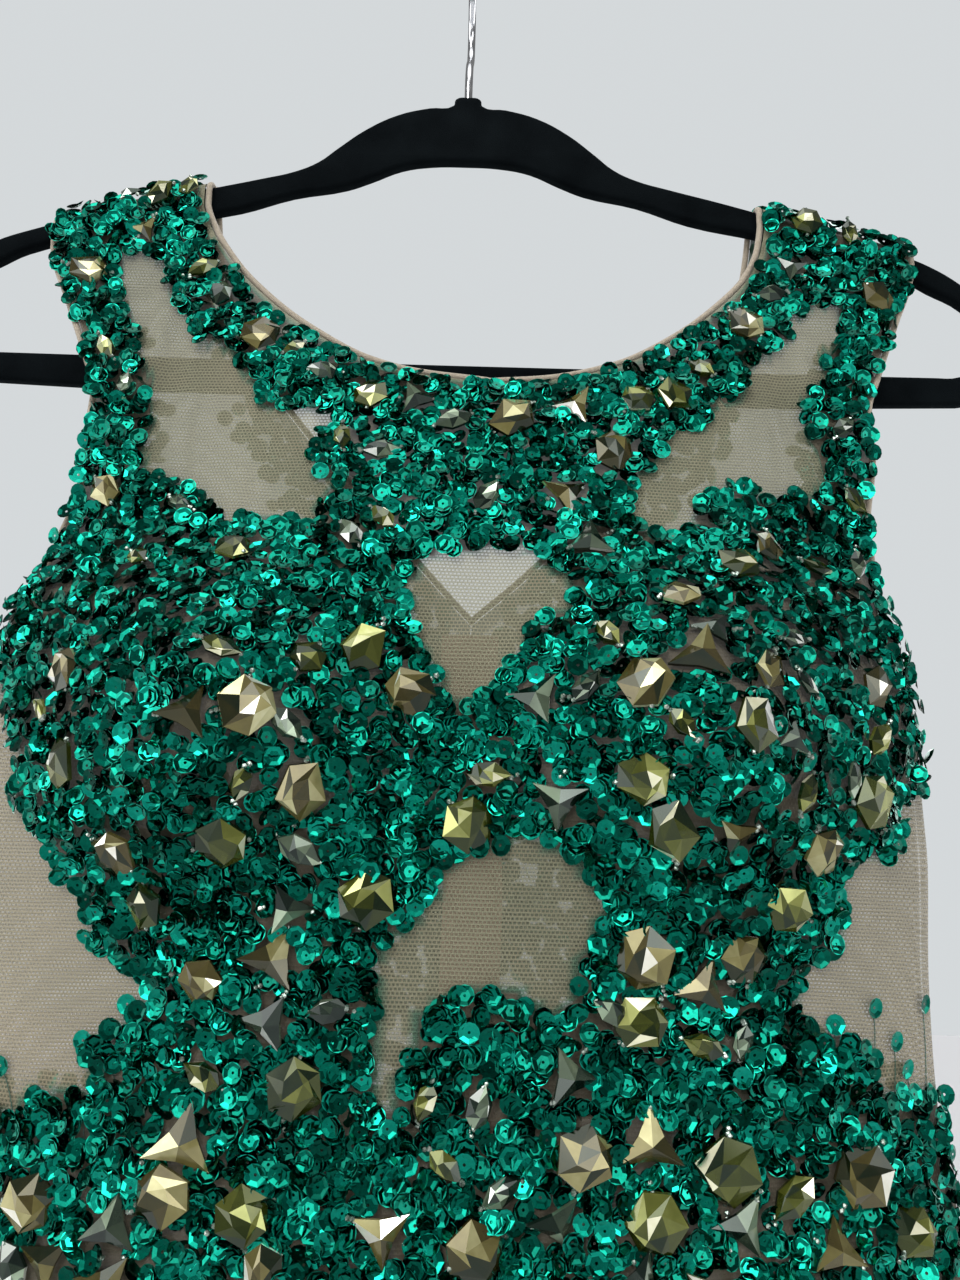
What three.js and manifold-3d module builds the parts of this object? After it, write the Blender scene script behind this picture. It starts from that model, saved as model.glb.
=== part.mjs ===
// Evening gown of sequinned nude tulle on a flocked hanger. Millimetres, +Z up, front towards -Y.
// The origin is the underside of the hook's crown, where a rail carries the hanger.
import * as THREE from 'three';
import { mergeVertices } from 'three/addons/utils/BufferGeometryUtils.js';
import Module from 'manifold-3d';

const wasm = await Module();
wasm.setup();

// ---------------------------------------------------------------- driving dimensions
const WALL = 1.6; // tulle with its threads
const SEAM = 0.3; // gap between two pieces that are sewn together
const BEAD_RISE = 1.8; // sequin layer, proud of the tulle
const STONE_RISE = 2.6; // a large stone, proud of the sequins
const HEM_Z = -1600;
const ARMPIT_Z = -310;
const ZIP = { top: -303, length: 330, tapeWidth: 24, tapeThick: 0.9 };
const HANGER = { thick: 6, chamfer: 1.8, rest: 0.95 }; // rest: strap's clearance over the arm
const HOOK = { wire: 3.5, crown: 20, socket: 12 };
const BINDING = { wide: 3.2, thick: 2.4 };
const ARMPIT_ROOM = 0.8; // more clearance where the armhole's edge turns to the side seam

// ---------------------------------------------------------------- small helpers
const lerp = (a, b, f) => a + (b - a) * f;
const clamp01 = (f) => Math.min(1, Math.max(0, f));
const smooth = (f) => clamp01(f) ** 2 * (3 - 2 * clamp01(f));

// A column of a table as a smooth function that never overshoots its rows (monotone cubic).
function column(table, key, by = 'z') {
  const rows = [...table].sort((a, b) => a[by] - b[by]);
  const x = rows.map((row) => row[by]);
  const y = rows.map((row) => row[key]);
  const slope = x.slice(1).map((_, i) => (y[i + 1] - y[i]) / (x[i + 1] - x[i]));
  const tangent = x.map((_, i) => {
    const before = slope[Math.max(0, i - 1)];
    const after = slope[Math.min(slope.length - 1, i)];
    return before * after <= 0 ? 0 : (2 * before * after) / (before + after);
  });
  return (at) => {
    const last = x.length - 1;
    if (at <= x[0]) return y[0];
    if (at >= x[last]) return y[last];
    const i = x.findIndex((value) => value > at) - 1;
    const h = x[i + 1] - x[i];
    const f = (at - x[i]) / h;
    return (
      y[i] * (1 + 2 * f) * (1 - f) ** 2 +
      y[i + 1] * f * f * (3 - 2 * f) +
      tangent[i] * h * f * (1 - f) ** 2 +
      tangent[i + 1] * h * f * f * (f - 1)
    );
  };
}

const material = (color, roughness, metalness = 0) =>
  new THREE.MeshStandardMaterial({ color, roughness, metalness });
const MATERIALS = {
  tulle: material(0xb9a28a, 0.85),
  edge: material(0xcdb197, 0.8),
  tape: material(0xe0b79c, 0.75),
  slider: material(0xc9ab90, 0.35, 0.6),
  velvet: material(0x0b0b0d, 0.95),
  chrome: material(0xd8dadd, 0.15, 1),
};

const group = new THREE.Group();
function add(name, geometry, finish) {
  const mesh = new THREE.Mesh(geometry, finish);
  mesh.name = name;
  group.add(mesh);
}

function solidOf(geometry) {
  const bare = geometry.index ? geometry.toNonIndexed() : geometry.clone();
  bare.deleteAttribute('normal');
  bare.deleteAttribute('uv');
  const position = bare.attributes.position; // rounded, so that points that coincide are found
  position.array.forEach((value, i) => { position.array[i] = Math.round(value * 1e4) / 1e4; });
  const merged = mergeVertices(bare, 1e-5);
  return new wasm.Manifold(
    new wasm.Mesh({
      numProp: 3,
      vertProperties: new Float32Array(merged.attributes.position.array),
      triVerts: new Uint32Array(merged.index.array),
    }),
  );
}

function geometryOf(solid) {
  const mesh = solid.getMesh();
  const geometry = new THREE.BufferGeometry();
  geometry.setAttribute('position', new THREE.BufferAttribute(mesh.vertProperties, 3));
  geometry.setIndex(new THREE.BufferAttribute(mesh.triVerts, 1));
  return geometry;
}

function geometryFrom(points, triangles) {
  const geometry = new THREE.BufferGeometry();
  const places = points.flatMap((p) => [p.x, p.y, p.z]);
  geometry.setAttribute('position', new THREE.Float32BufferAttribute(places, 3));
  geometry.setIndex(triangles.flat());
  return geometry;
}

// ---------------------------------------------------------------- hanger
// Upper and lower edge of one arm, then the rounded end that runs into the trouser bar.
const ARM_TOP = [
  { x: 0, z: -65 }, { x: 5.5, z: -66 }, { x: 6, z: -69 }, { x: 17, z: -71 }, { x: 31, z: -75 },
  { x: 45, z: -83 }, { x: 57, z: -93 }, { x: 65, z: -100 }, { x: 75, z: -105 }, { x: 89, z: -109 },
  { x: 114, z: -115.5 }, { x: 150, z: -126 }, { x: 189, z: -138 }, { x: 201, z: -143 },
];
const END_OUTSIDE = [
  { x: 214, z: -151.5 }, { x: 226, z: -163 }, { x: 232, z: -176 }, { x: 230, z: -191 },
  { x: 222, z: -202.5 }, { x: 209, z: -207 },
];
const ARM_UNDER = [
  { x: 0, z: -98 }, { x: 15, z: -98.5 }, { x: 28, z: -101 }, { x: 41, z: -107 }, { x: 52, z: -111.5 },
  { x: 75, z: -116.5 }, { x: 98, z: -124.5 }, { x: 130, z: -131 }, { x: 188, z: -147 }, { x: 200, z: -154 },
];
const END_INSIDE = [
  { x: 214, z: -162 }, { x: 220, z: -170 }, { x: 221.5, z: -179 }, { x: 218, z: -189 },
  { x: 210, z: -194.3 }, { x: 199, z: -195 },
];
function hangerTop(x) {
  const i = Math.max(1, ARM_TOP.findIndex((p) => p.x >= x));
  const [p, q] = [ARM_TOP[i - 1], ARM_TOP[i]];
  return lerp(p.z, q.z, (x - p.x) / (q.x - p.x));
}

function ring(half) {
  const right = half.map(({ x, z }) => new THREE.Vector2(x, z));
  const left = [...half].reverse().filter(({ x }) => x > 0).map(({ x, z }) => new THREE.Vector2(-x, z));
  return [...right, ...left];
}

const hookPath = () => {
  const centre = HOOK.wire / 2 - HOOK.crown; // height of the loop's centre
  const onLoop = (deg) =>
    new THREE.Vector3(0, HOOK.crown * Math.cos(THREE.MathUtils.degToRad(deg)),
      centre + HOOK.crown * Math.sin(THREE.MathUtils.degToRad(deg)));
  const path = new THREE.CurvePath();
  const stemFoot = new THREE.Vector3(0, 0, ARM_TOP[0].z - HOOK.socket + 0.5);
  const kink = new THREE.Vector3(0, 0, -52);
  path.add(new THREE.LineCurve3(stemFoot, kink));
  path.add(new THREE.CubicBezierCurve3(
    kink, new THREE.Vector3(0, 0, -44), new THREE.Vector3(0, 7, -46), onLoop(-48),
  ));
  for (let deg = -48; deg < 205; deg += 23) {
    path.add(new THREE.LineCurve3(onLoop(deg), onLoop(deg + 23)));
  }
  return path;
};

// A wire through points that lie in the plane x = 0, closed by its two end faces.
function wireInPlane(points, radius, sides) {
  const rings = points.map((p, i) => {
    const next = points[Math.min(i + 1, points.length - 1)];
    const along = next.clone().sub(points[Math.max(i - 1, 0)]).normalize();
    const across = new THREE.Vector3(1, 0, 0);
    const up = across.clone().cross(along);
    return Array.from({ length: sides }, (_, k) => {
      const a = (2 * Math.PI * k) / sides;
      return p.clone()
        .addScaledVector(across, radius * Math.cos(a))
        .addScaledVector(up, radius * Math.sin(a));
    });
  });
  return tubeOf(rings, false);
}

// Joins rings of points, all with the same count, into a closed skin.
function tubeOf(rings, looped) {
  const sides = rings[0].length;
  const triangles = [];
  const at = (i, k) => (i % rings.length) * sides + (k % sides);
  for (let i = 0; i < rings.length - (looped ? 0 : 1); i++) {
    for (let k = 0; k < sides; k++) {
      triangles.push([at(i, k), at(i, k + 1), at(i + 1, k + 1)], [at(i, k), at(i + 1, k + 1), at(i + 1, k)]);
    }
  }
  if (!looped) {
    for (let k = 1; k < sides - 1; k++) {
      const end = rings.length - 1;
      triangles.push([at(0, 0), at(0, k + 1), at(0, k)], [at(end, 0), at(end, k), at(end, k + 1)]);
    }
  }
  return facingOut(geometryFrom(rings.flat(), triangles));
}

// Turns every triangle round when the skin encloses a negative volume.
function facingOut(geometry) {
  const p = geometry.attributes.position;
  const index = geometry.index.array;
  const [a, b, c] = [new THREE.Vector3(), new THREE.Vector3(), new THREE.Vector3()];
  let volume = 0;
  for (let i = 0; i < index.length; i += 3) {
    a.fromBufferAttribute(p, index[i]);
    b.fromBufferAttribute(p, index[i + 1]);
    c.fromBufferAttribute(p, index[i + 2]);
    volume += a.dot(b.cross(c));
  }
  if (volume < 0) {
    for (let i = 0; i < index.length; i += 3) [index[i + 1], index[i + 2]] = [index[i + 2], index[i + 1]];
  }
  return geometry;
}

{
  const outline = new THREE.Shape(ring([...ARM_TOP, ...END_OUTSIDE]).reverse());
  outline.holes.push(new THREE.Path(ring([...ARM_UNDER, ...END_INSIDE])));
  const flat = new THREE.ExtrudeGeometry(outline, {
    depth: HANGER.thick - 2 * HANGER.chamfer,
    bevelThickness: HANGER.chamfer,
    bevelSize: HANGER.chamfer,
    bevelOffset: -HANGER.chamfer,
    bevelSegments: 1,
  });
  flat.translate(0, 0, -HANGER.thick / 2 + HANGER.chamfer);
  flat.rotateX(Math.PI / 2);
  const bore = new THREE.CylinderGeometry(HOOK.wire / 2 + SEAM, HOOK.wire / 2 + SEAM, 2 * HOOK.socket, 12);
  bore.rotateX(Math.PI / 2);
  bore.translate(0, 0, ARM_TOP[0].z);
  add('hanger', geometryOf(solidOf(flat).subtract(solidOf(bore))), MATERIALS.velvet);

  const curve = hookPath();
  const stops = curve.curves.flatMap((piece, i) => {
    const steps = i === 1 ? 6 : 1;
    return Array.from({ length: steps }, (_, k) => piece.getPoint(k / steps));
  });
  stops.push(curve.curves.at(-1).getPoint(1));
  add('hook', wireInPlane(stops, HOOK.wire / 2, 8), MATERIALS.chrome);
}

// ---------------------------------------------------------------- the gown's form
// Sections from shoulder to hem: half width, depth at the centre and at the armhole's edge for front and
// back, and how far the gown hangs to the hanger's right.
const SECTIONS = [
  { z: -105, half: 183, front: 6.5, frontEdge: 6, back: 6.5, backEdge: 6, shift: 8.5 },
  { z: -146, half: 181.5, front: 8, frontEdge: 6.2, back: 7.5, backEdge: 6.2, shift: 8.5 },
  { z: -174, half: 171.3, front: 13, frontEdge: 8.5, back: 10, backEdge: 8, shift: 9 },
  { z: -199, half: 161, front: 18.5, frontEdge: 12, back: 13, backEdge: 10, shift: 9.5 },
  { z: -218, half: 154.8, front: 23, frontEdge: 14, back: 16, backEdge: 11.5, shift: 9.8 },
  { z: -236, half: 155.3, front: 27.5, frontEdge: 14.5, back: 18.5, backEdge: 12, shift: 9.7 },
  { z: -259, half: 154.4, front: 33, frontEdge: 13.5, back: 22, backEdge: 11, shift: 7.9 },
  { z: -284, half: 160.5, front: 38, frontEdge: 10, back: 25, backEdge: 8, shift: 4.5 },
  { z: -298, half: 167.8, front: 41, frontEdge: 5.5, back: 27, backEdge: 4.5, shift: 2.3 },
  { z: ARMPIT_Z, half: 173.8, front: 43, frontEdge: 0, back: 28, backEdge: 0, shift: 1.8 },
  { z: -348, half: 176.4, front: 48, frontEdge: 0, back: 31, backEdge: 0, shift: 3.4 },
  { z: -388, half: 176.7, front: 49, frontEdge: 0, back: 32, backEdge: 0, shift: 3.7 },
  { z: -440, half: 175.2, front: 46, frontEdge: 0, back: 30, backEdge: 0, shift: 3.2 },
  { z: -474, half: 175.9, front: 46, frontEdge: 0, back: 30, backEdge: 0, shift: 2.9 },
  { z: -502, half: 178.9, front: 48, frontEdge: 0, back: 31, backEdge: 0, shift: 2.9 },
  { z: -560, half: 193, front: 53, frontEdge: 0, back: 36, backEdge: 0, shift: 2 },
  { z: -640, half: 215.5, front: 60, frontEdge: 0, back: 42, backEdge: 0, shift: 1.5 },
  { z: -760, half: 227, front: 64, frontEdge: 0, back: 44, backEdge: 0, shift: 1 },
  { z: -1000, half: 250, front: 68, frontEdge: 0, back: 48, backEdge: 0, shift: 0 },
  { z: -1300, half: 290, front: 74, frontEdge: 0, back: 56, backEdge: 0, shift: 0 },
  { z: HEM_Z, half: 330, front: 80, frontEdge: 0, back: 64, backEdge: 0, shift: 0 },
];
const half = column(SECTIONS, 'half');
const shift = column(SECTIONS, 'shift');
const CENTRE = { front: column(SECTIONS, 'front'), back: column(SECTIONS, 'back') };
const EDGE = { front: column(SECTIONS, 'frontEdge'), back: column(SECTIONS, 'backEdge') };
const CUP = { out: 88, z: -352, rise: 32, wide: 52, above: 57, below: 43 };
const FLUTES = { count: 5, top: -820, depth: 15 }; // soft folds across one face, deepest at the hem
const STRAP = { face: 6, blend: 30 }; // cloth's distance from the hanger's middle plane over the arm
const SIDE_ROUND = 0.4; // below 1, the cloth turns round the body at its side seams

// Distance of the outer face from the side seams' plane, at a place across and a height.
function depthAt(side, x, z) {
  const name = side < 0 ? 'front' : 'back';
  const across = (x - shift(z)) / half(z);
  const power = lerp(SIDE_ROUND, 1, smooth((z - ARMPIT_Z) / 40));
  const round = (1 - Math.min(1, Math.abs(across)) ** 2) ** power;
  const edge = EDGE[name](z);
  let depth = edge + (CENTRE[name](z) - edge) * round;
  if (side < 0) {
    const tall = z > CUP.z ? CUP.above : CUP.below;
    const fade = lerp(round, 1, smooth((z - ARMPIT_Z) / 60));
    for (const cup of [-1, 1]) {
      const dx = (x - shift(z) - cup * CUP.out) / CUP.wide;
      const dz = (z - CUP.z) / tall;
      depth += fade * CUP.rise * Math.exp(-dx * dx - dz * dz);
    }
  }
  const flute = smooth((FLUTES.top - z) / (FLUTES.top - HEM_Z)) * FLUTES.depth * round;
  const phase = across * Math.PI * FLUTES.count + (side < 0 ? 0 : Math.PI);
  return depth + flute * Math.cos(phase + 0.5 * Math.sin(3 * across));
}

// Heights along the cloth: below arcFoot the cloth hangs, above it the strap bends over the hanger's arm
// and ends at the shoulder seam, shoulderTop.
const strapRadius = STRAP.face - SEAM / 2;
const arcFoot = (x) => hangerTop(Math.abs(x)) + HANGER.rest + WALL - strapRadius;
const shoulderTop = (x) => arcFoot(x) + (strapRadius * Math.PI) / 2;

// The outer face: x across, g the height along the cloth, side -1 for the front and 1 for the back.
function outerFace(side, x, g) {
  const foot = arcFoot(x);
  if (g > foot) {
    const angle = (g - foot) / strapRadius;
    const depth = SEAM / 2 + strapRadius * Math.cos(angle);
    return new THREE.Vector3(x, side * depth, foot + strapRadius * Math.sin(angle));
  }
  const onStrap = g > -200 ? smooth(1 - (foot - g) / STRAP.blend) : 0;
  const depth = Math.max(SEAM / 2, lerp(depthAt(side, x, g), STRAP.face, onStrap));
  return new THREE.Vector3(x, side * depth, g);
}

function outerNormal(side, x, g) {
  const step = 0.4;
  const centre = shift(g);
  const room = half(g) - step;
  const xIn = centre + Math.max(-room, Math.min(room, x - centre));
  const dx = outerFace(side, xIn + step, g).sub(outerFace(side, xIn - step, g));
  const dg = outerFace(side, xIn, Math.min(g + step, shoulderTop(xIn)))
    .sub(outerFace(side, xIn, g - step));
  return dx.cross(dg).multiplyScalar(-side).normalize();
}

// ---------------------------------------------------------------- patterns, in cloth coordinates
// Half widths of the scoop in front and of the V behind, from the shoulder seam down.
const SCOOP = [
  { g: -100, half: 121 }, { g: -125, half: 120.5 }, { g: -139, half: 117 }, { g: -155, half: 108.5 },
  { g: -170, half: 95.5 }, { g: -187, half: 76 }, { g: -203, half: 50 }, { g: -210, half: 26 },
  { g: -213.3, half: 0 },
];
const VEE = [
  { g: -100, half: 121 }, { g: -150, half: 115 }, { g: -190, half: 99 }, { g: -215, half: 82 },
  { g: -235, half: 65 }, { g: -253, half: 48 }, { g: -270, half: 32 }, { g: -285, half: 17 },
  { g: -301, half: 0 },
];
// How far the scoop's middle and the centre-back seam hang to the hanger's right of the gown's middle.
const LEANS = {
  front: [{ g: -310, lean: 0 }, { g: -230, lean: 4 }, { g: -160, lean: 4 }, { g: -125, lean: 0 }],
  back: [
    { g: HEM_Z, lean: 0 }, { g: -900, lean: 2 }, { g: -560, lean: 6 }, { g: -425, lean: 8.5 },
    { g: -340, lean: 5.5 }, { g: -301, lean: 6 }, { g: -260, lean: 3 }, { g: -200, lean: 0 },
  ],
};
const LEAN = { front: column(LEANS.front, 'lean', 'g'), back: column(LEANS.back, 'lean', 'g') };
const seam = (z) => shift(z) + LEAN.back(z); // place of the centre-back seam
const YOKE = {
  front: { edge: SCOOP, split: -187, across: 7 },
  back: { edge: VEE, split: -235, across: 5 },
};
const ARC_ROWS = 3; // rows over the hanger's arm
const ARMHOLE_ROWS = 8; // rows below them, down to the armpit
const COLUMNS = 13; // from the centre to the side seam
const LOWER_ROWS = [
  -328, -346, -364, -382, -402, -424, -446, -468, -490, -515, -545, -580, -620, -670, -730, -800, -880,
  -970, -1070, -1180, -1300, -1440, HEM_Z,
];

const seamFraction = (k) => Math.sin((Math.PI / 2) * (k / COLUMNS));

// One half of a panel as a net of places (a = distance from the gown's middle, g = height along the cloth).
// Lines run from the neckline to the armhole, and past the armpit to the row at its height.
function halfPanel(kind, sign) {
  const { edge, split, across } = YOKE[kind];
  const neckHalf = column(edge, 'half', 'g');
  const neckDrop = column(edge, 'g', 'half');
  const middleGap = kind === 'back' ? SEAM / 2 : 0;
  // A place at a fraction f of the way from the leaning middle line to the side.
  const place = (a, g, f) => ({ a: Math.max(a, middleGap) + sign * LEAN[kind](g) * (1 - f), g });
  const topOf = (a) => shoulderTop(shift(-130) + sign * a);
  const neckTop = topOf(edge[0].half);
  const outTop = topOf(half(-146));
  const arc = (strapRadius * Math.PI) / 2;
  const down = (top, end, i) =>
    i <= ARC_ROWS ? top - (arc * i) / ARC_ROWS : lerp(top - arc, end, (i - ARC_ROWS) / ARMHOLE_ROWS);
  const lines = [];
  for (let i = 0; i < ARC_ROWS + ARMHOLE_ROWS; i++) {
    const gNeck = down(neckTop, split, i);
    const gOut = down(outTop, ARMPIT_Z, i);
    lines.push([place(neckHalf(gNeck), gNeck, 0), place(half(Math.min(gOut, -146)), gOut, 1)]);
  }
  for (let k = COLUMNS; k >= 0; k--) {
    const f = seamFraction(k);
    const a = neckHalf(split) * f;
    const g = k === 0 ? edge.at(-1).g : neckDrop(a);
    lines.push([place(a, g, 0), place(half(ARMPIT_Z) * f, ARMPIT_Z, f)]);
  }
  const yoke = lines.map(([neck, out]) =>
    Array.from({ length: across + 1 }, (_, u) => ({
      a: lerp(neck.a, out.a, u / across),
      g: lerp(neck.g, out.g, u / across),
    })));
  const lower = LOWER_ROWS.map((g) =>
    Array.from({ length: COLUMNS + 1 }, (_, k) => {
      const f = seamFraction(COLUMNS - k);
      return place(half(g) * f, g, f);
    }));
  return { yoke, lower };
}

// Sheer windows in the beading, in cloth coordinates from the gown's middle: the shoulders, the keyhole
// between the cups, the midriff and the two sides.
const WINDOWS = [
  [
    [-146, -160], [-114, -197], [-86, -221], [-59, -232], [-54, -278], [-88, -276], [-128, -256],
    [-133, -215],
  ],
  [[135, -184], [106, -205], [82, -228], [61, -250], [65, -268], [83, -271], [108, -258], [133, -252]],
  [[-17, -304], [4, -288], [38, -297], [46, -305], [24, -326], [7, -345], [-5, -338], [-13, -322]],
  [
    [-5, -402], [29, -390], [51, -406], [44, -430], [37, -446], [9, -438], [-7, -450], [-20, -472],
    [-23, -432],
  ],
  [[-181, -384], [-157, -388], [-121, -418], [-95, -444], [-115, -462], [-123, -475], [-185, -482]],
  [[186, -362], [162, -368], [137, -405], [115, -436], [127, -450], [146, -468], [187, -470]],
].map((outline) => outline.map(([a, g]) => ({ a, g })));
const BEADS_END = { full: -700, none: -1250 }; // the beading thins out between these heights

function inside(outline, a, g) {
  return outline.reduce((isIn, p, i) => {
    const q = outline[(i + 1) % outline.length];
    const crosses = p.g > g !== q.g > g && a < ((q.a - p.a) * (g - p.g)) / (q.g - p.g) + p.a;
    return crosses ? !isIn : isIn;
  }, false);
}

// How far the beading stands off the cloth at a point of the net; every third point carries a large stone.
function beadRise(kind, a, g, row, place) {
  const stone = (row + 2 * place) % 3 === 0 && (row * 7 + place * 5) % 4 < 2 ? STONE_RISE : 0;
  if (kind === 'front') {
    if (WINDOWS.some((outline) => inside(outline, a, g))) return 0;
  } else if (g > ARMPIT_Z - 20 || (g > -430 && Math.abs(a) > 40)) {
    return 0;
  }
  const share = 1 - smooth((BEADS_END.full - g) / (BEADS_END.full - BEADS_END.none));
  const left = share > 0.99 || ((row * 5 + place * 3) % 7) / 7 < share;
  return left ? BEAD_RISE + stone : 0;
}

// Gives a net of cloth places its thickness. Border points carry no beads, so the seams stay even.
function clothWall(kind, net) {
  const side = kind === 'front' ? -1 : 1;
  const edges = new Map();
  for (const face of net.faces) {
    face.forEach((from, i) => {
      const to = face[(i + 1) % face.length];
      if (edges.has(`${to},${from}`)) edges.delete(`${to},${from}`);
      else edges.set(`${from},${to}`, [from, to]);
    });
  }
  const border = new Set([...edges.values()].flat());
  const outer = [];
  const inner = [];
  net.places.forEach(({ x, g, row, place }, i) => {
    const point = outerFace(side, x, g);
    const normal = outerNormal(side, x, g);
    const rise = border.has(i) || g > -150 ? 0 : beadRise(kind, x - shift(g), g, row, place);
    outer.push(point.clone().addScaledVector(normal, rise));
    const back = point.clone().addScaledVector(normal, -WALL);
    back.y = side * Math.max(side * back.y, SEAM / 2);
    inner.push(back);
  });
  const count = outer.length;
  const triangles = [];
  for (const [p, q, r, s] of net.faces) {
    triangles.push([p, q, r], [p, r, s]);
    triangles.push([p + count, r + count, q + count], [p + count, s + count, r + count]);
  }
  for (const [from, to] of edges.values()) {
    triangles.push([from, from + count, to + count], [from, to + count, to]);
  }
  return facingOut(geometryFrom([...outer, ...inner], triangles));
}

// Places and faces of a whole front (both halves share the middle line) or of one half of the back.
function panelNet(kind, signs) {
  const places = [];
  const faces = [];
  const known = new Map();
  for (const sign of signs) {
    const { yoke, lower } = halfPanel(kind, sign);
    const point = ({ a, g }, row, place) => {
      const away = sign * a;
      const key = `${away.toFixed(3)},${g.toFixed(3)}`;
      if (!known.has(key)) {
        known.set(key, places.length);
        places.push({ x: shift(Math.min(g, -130)) + away, g, row, place });
      }
      return known.get(key);
    };
    const quads = (rows, firstRow, turned) => {
      const index = rows.map((line, i) => line.map((p, k) => point(p, firstRow + i, k)));
      for (let i = 0; i < index.length - 1; i++) {
        for (let k = 0; k < index[i].length - 1; k++) {
          const quad = [index[i][k], index[i + 1][k], index[i + 1][k + 1], index[i][k + 1]];
          faces.push(sign > 0 !== turned ? quad : quad.reverse());
        }
      }
    };
    quads(yoke, 0, false);
    const armpitRow = yoke.slice(ARC_ROWS + ARMHOLE_ROWS).map((line) => line.at(-1));
    quads([armpitRow, ...lower], yoke.length, true);
  }
  return { places, faces };
}

// A rolled edge: runs beside a border of the cloth, a seam's gap away from it.
function rolledEdge(stops, looped) {
  const rings = stops.map(({ point, normal }, i) => {
    const next = looped ? stops[(i + 1) % stops.length] : stops[Math.min(i + 1, stops.length - 1)];
    const last = looped ? stops[(i + stops.length - 1) % stops.length] : stops[Math.max(i - 1, 0)];
    const along = next.point.clone().sub(last.point).normalize();
    const away = along.clone().cross(normal).normalize();
    if (away.dot(stops[i].away) < 0) away.negate();
    if (stops[i].square) away.copy(stops[i].away);
    const middle = point.clone()
      .addScaledVector(normal, -WALL / 2)
      .addScaledVector(away, SEAM + BINDING.wide / 2 + (stops[i].room ?? 0));
    return [[1, 0], [0.6, 1], [-1, 1], [-1, -1], [0.6, -1]].map(([out, up]) =>
      middle.clone()
        .addScaledVector(away, (out * BINDING.wide) / 2)
        .addScaledVector(normal, (up * BINDING.thick) / 2));
  });
  return tubeOf(rings, looped);
}

function edgeStops(kind, sign, which, awayX, awayZ) {
  const side = kind === 'front' ? -1 : 1;
  const { yoke } = halfPanel(kind, sign);
  const lines = which === 'neck' ? yoke : yoke.slice(0, ARC_ROWS + ARMHOLE_ROWS + 1);
  return lines.map((line, i) => {
    const { a, g } = which === 'neck' ? line[0] : line.at(-1);
    const x = shift(Math.min(g, -130)) + sign * a;
    const square = i === yoke.length - 1;
    return {
      point: outerFace(side, x, g),
      normal: outerNormal(side, x, g),
      away: square ? new THREE.Vector3(0, 0, 1) : new THREE.Vector3(sign * awayX, 0, awayZ),
      square,
      room: which === 'armhole' && g < ARMPIT_Z + 50 ? ARMPIT_ROOM : 0,
    };
  });
}

// ---------------------------------------------------------------- panels
add('front', clothWall('front', panelNet('front', [-1, 1])), MATERIALS.tulle);
add('back_left', clothWall('back', panelNet('back', [-1])), MATERIALS.tulle);
add('back_right', clothWall('back', panelNet('back', [1])), MATERIALS.tulle);

// ---------------------------------------------------------------- rolled edges
{
  const left = edgeStops('front', -1, 'neck', -1, 1);
  const right = edgeStops('front', 1, 'neck', -1, 1);
  add('neck_binding_front', rolledEdge([...left.slice(0, -1), ...right.reverse()], false), MATERIALS.edge);
  for (const [name, sign] of [['left', -1], ['right', 1]]) {
    const vee = edgeStops('back', sign, 'neck', -1, 1);
    add(`neck_binding_back_${name}`, rolledEdge(vee, false), MATERIALS.edge);
    const down = edgeStops('front', sign, 'armhole', 1, 0.4).slice(0, -1);
    const up = edgeStops('back', sign, 'armhole', 1, 0.4).slice(0, -1).reverse();
    const armpit = {
      point: new THREE.Vector3(shift(ARMPIT_Z) + sign * half(ARMPIT_Z), 0, ARMPIT_Z),
      normal: new THREE.Vector3(sign, 0, 0),
      away: new THREE.Vector3(0, 0, 1),
    };
    add(`armhole_binding_${name}`, rolledEdge([...down, armpit, ...up], true), MATERIALS.edge);
  }
}

// ---------------------------------------------------------------- centre-back zip
// The tape lies inside, across the seam; it follows the net of the back, row by row.
{
  const rows = [ZIP.top - 2, ARMPIT_Z, ...LOWER_ROWS.filter((z) => z > ZIP.top - ZIP.length)];
  const rings = rows.map((z) => {
    const middle = seam(z);
    const firstColumn = half(z) * seamFraction(1);
    const underCloth = (a) => outerFace(1, middle + a, z).y - WALL - SEAM;
    const sideY = lerp(underCloth(0), underCloth(firstColumn), ZIP.tapeWidth / 2 / firstColumn) - 0.1;
    const place = (across, y) => new THREE.Vector3(middle + across, y, z);
    return [
      place(-ZIP.tapeWidth / 2, sideY), place(0, underCloth(0)), place(ZIP.tapeWidth / 2, sideY),
      place(ZIP.tapeWidth / 2, sideY - ZIP.tapeThick), place(0, underCloth(0) - ZIP.tapeThick),
      place(-ZIP.tapeWidth / 2, sideY - ZIP.tapeThick),
    ];
  });
  add('zip_tape', tubeOf(rings, false), MATERIALS.tape);
}

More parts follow.
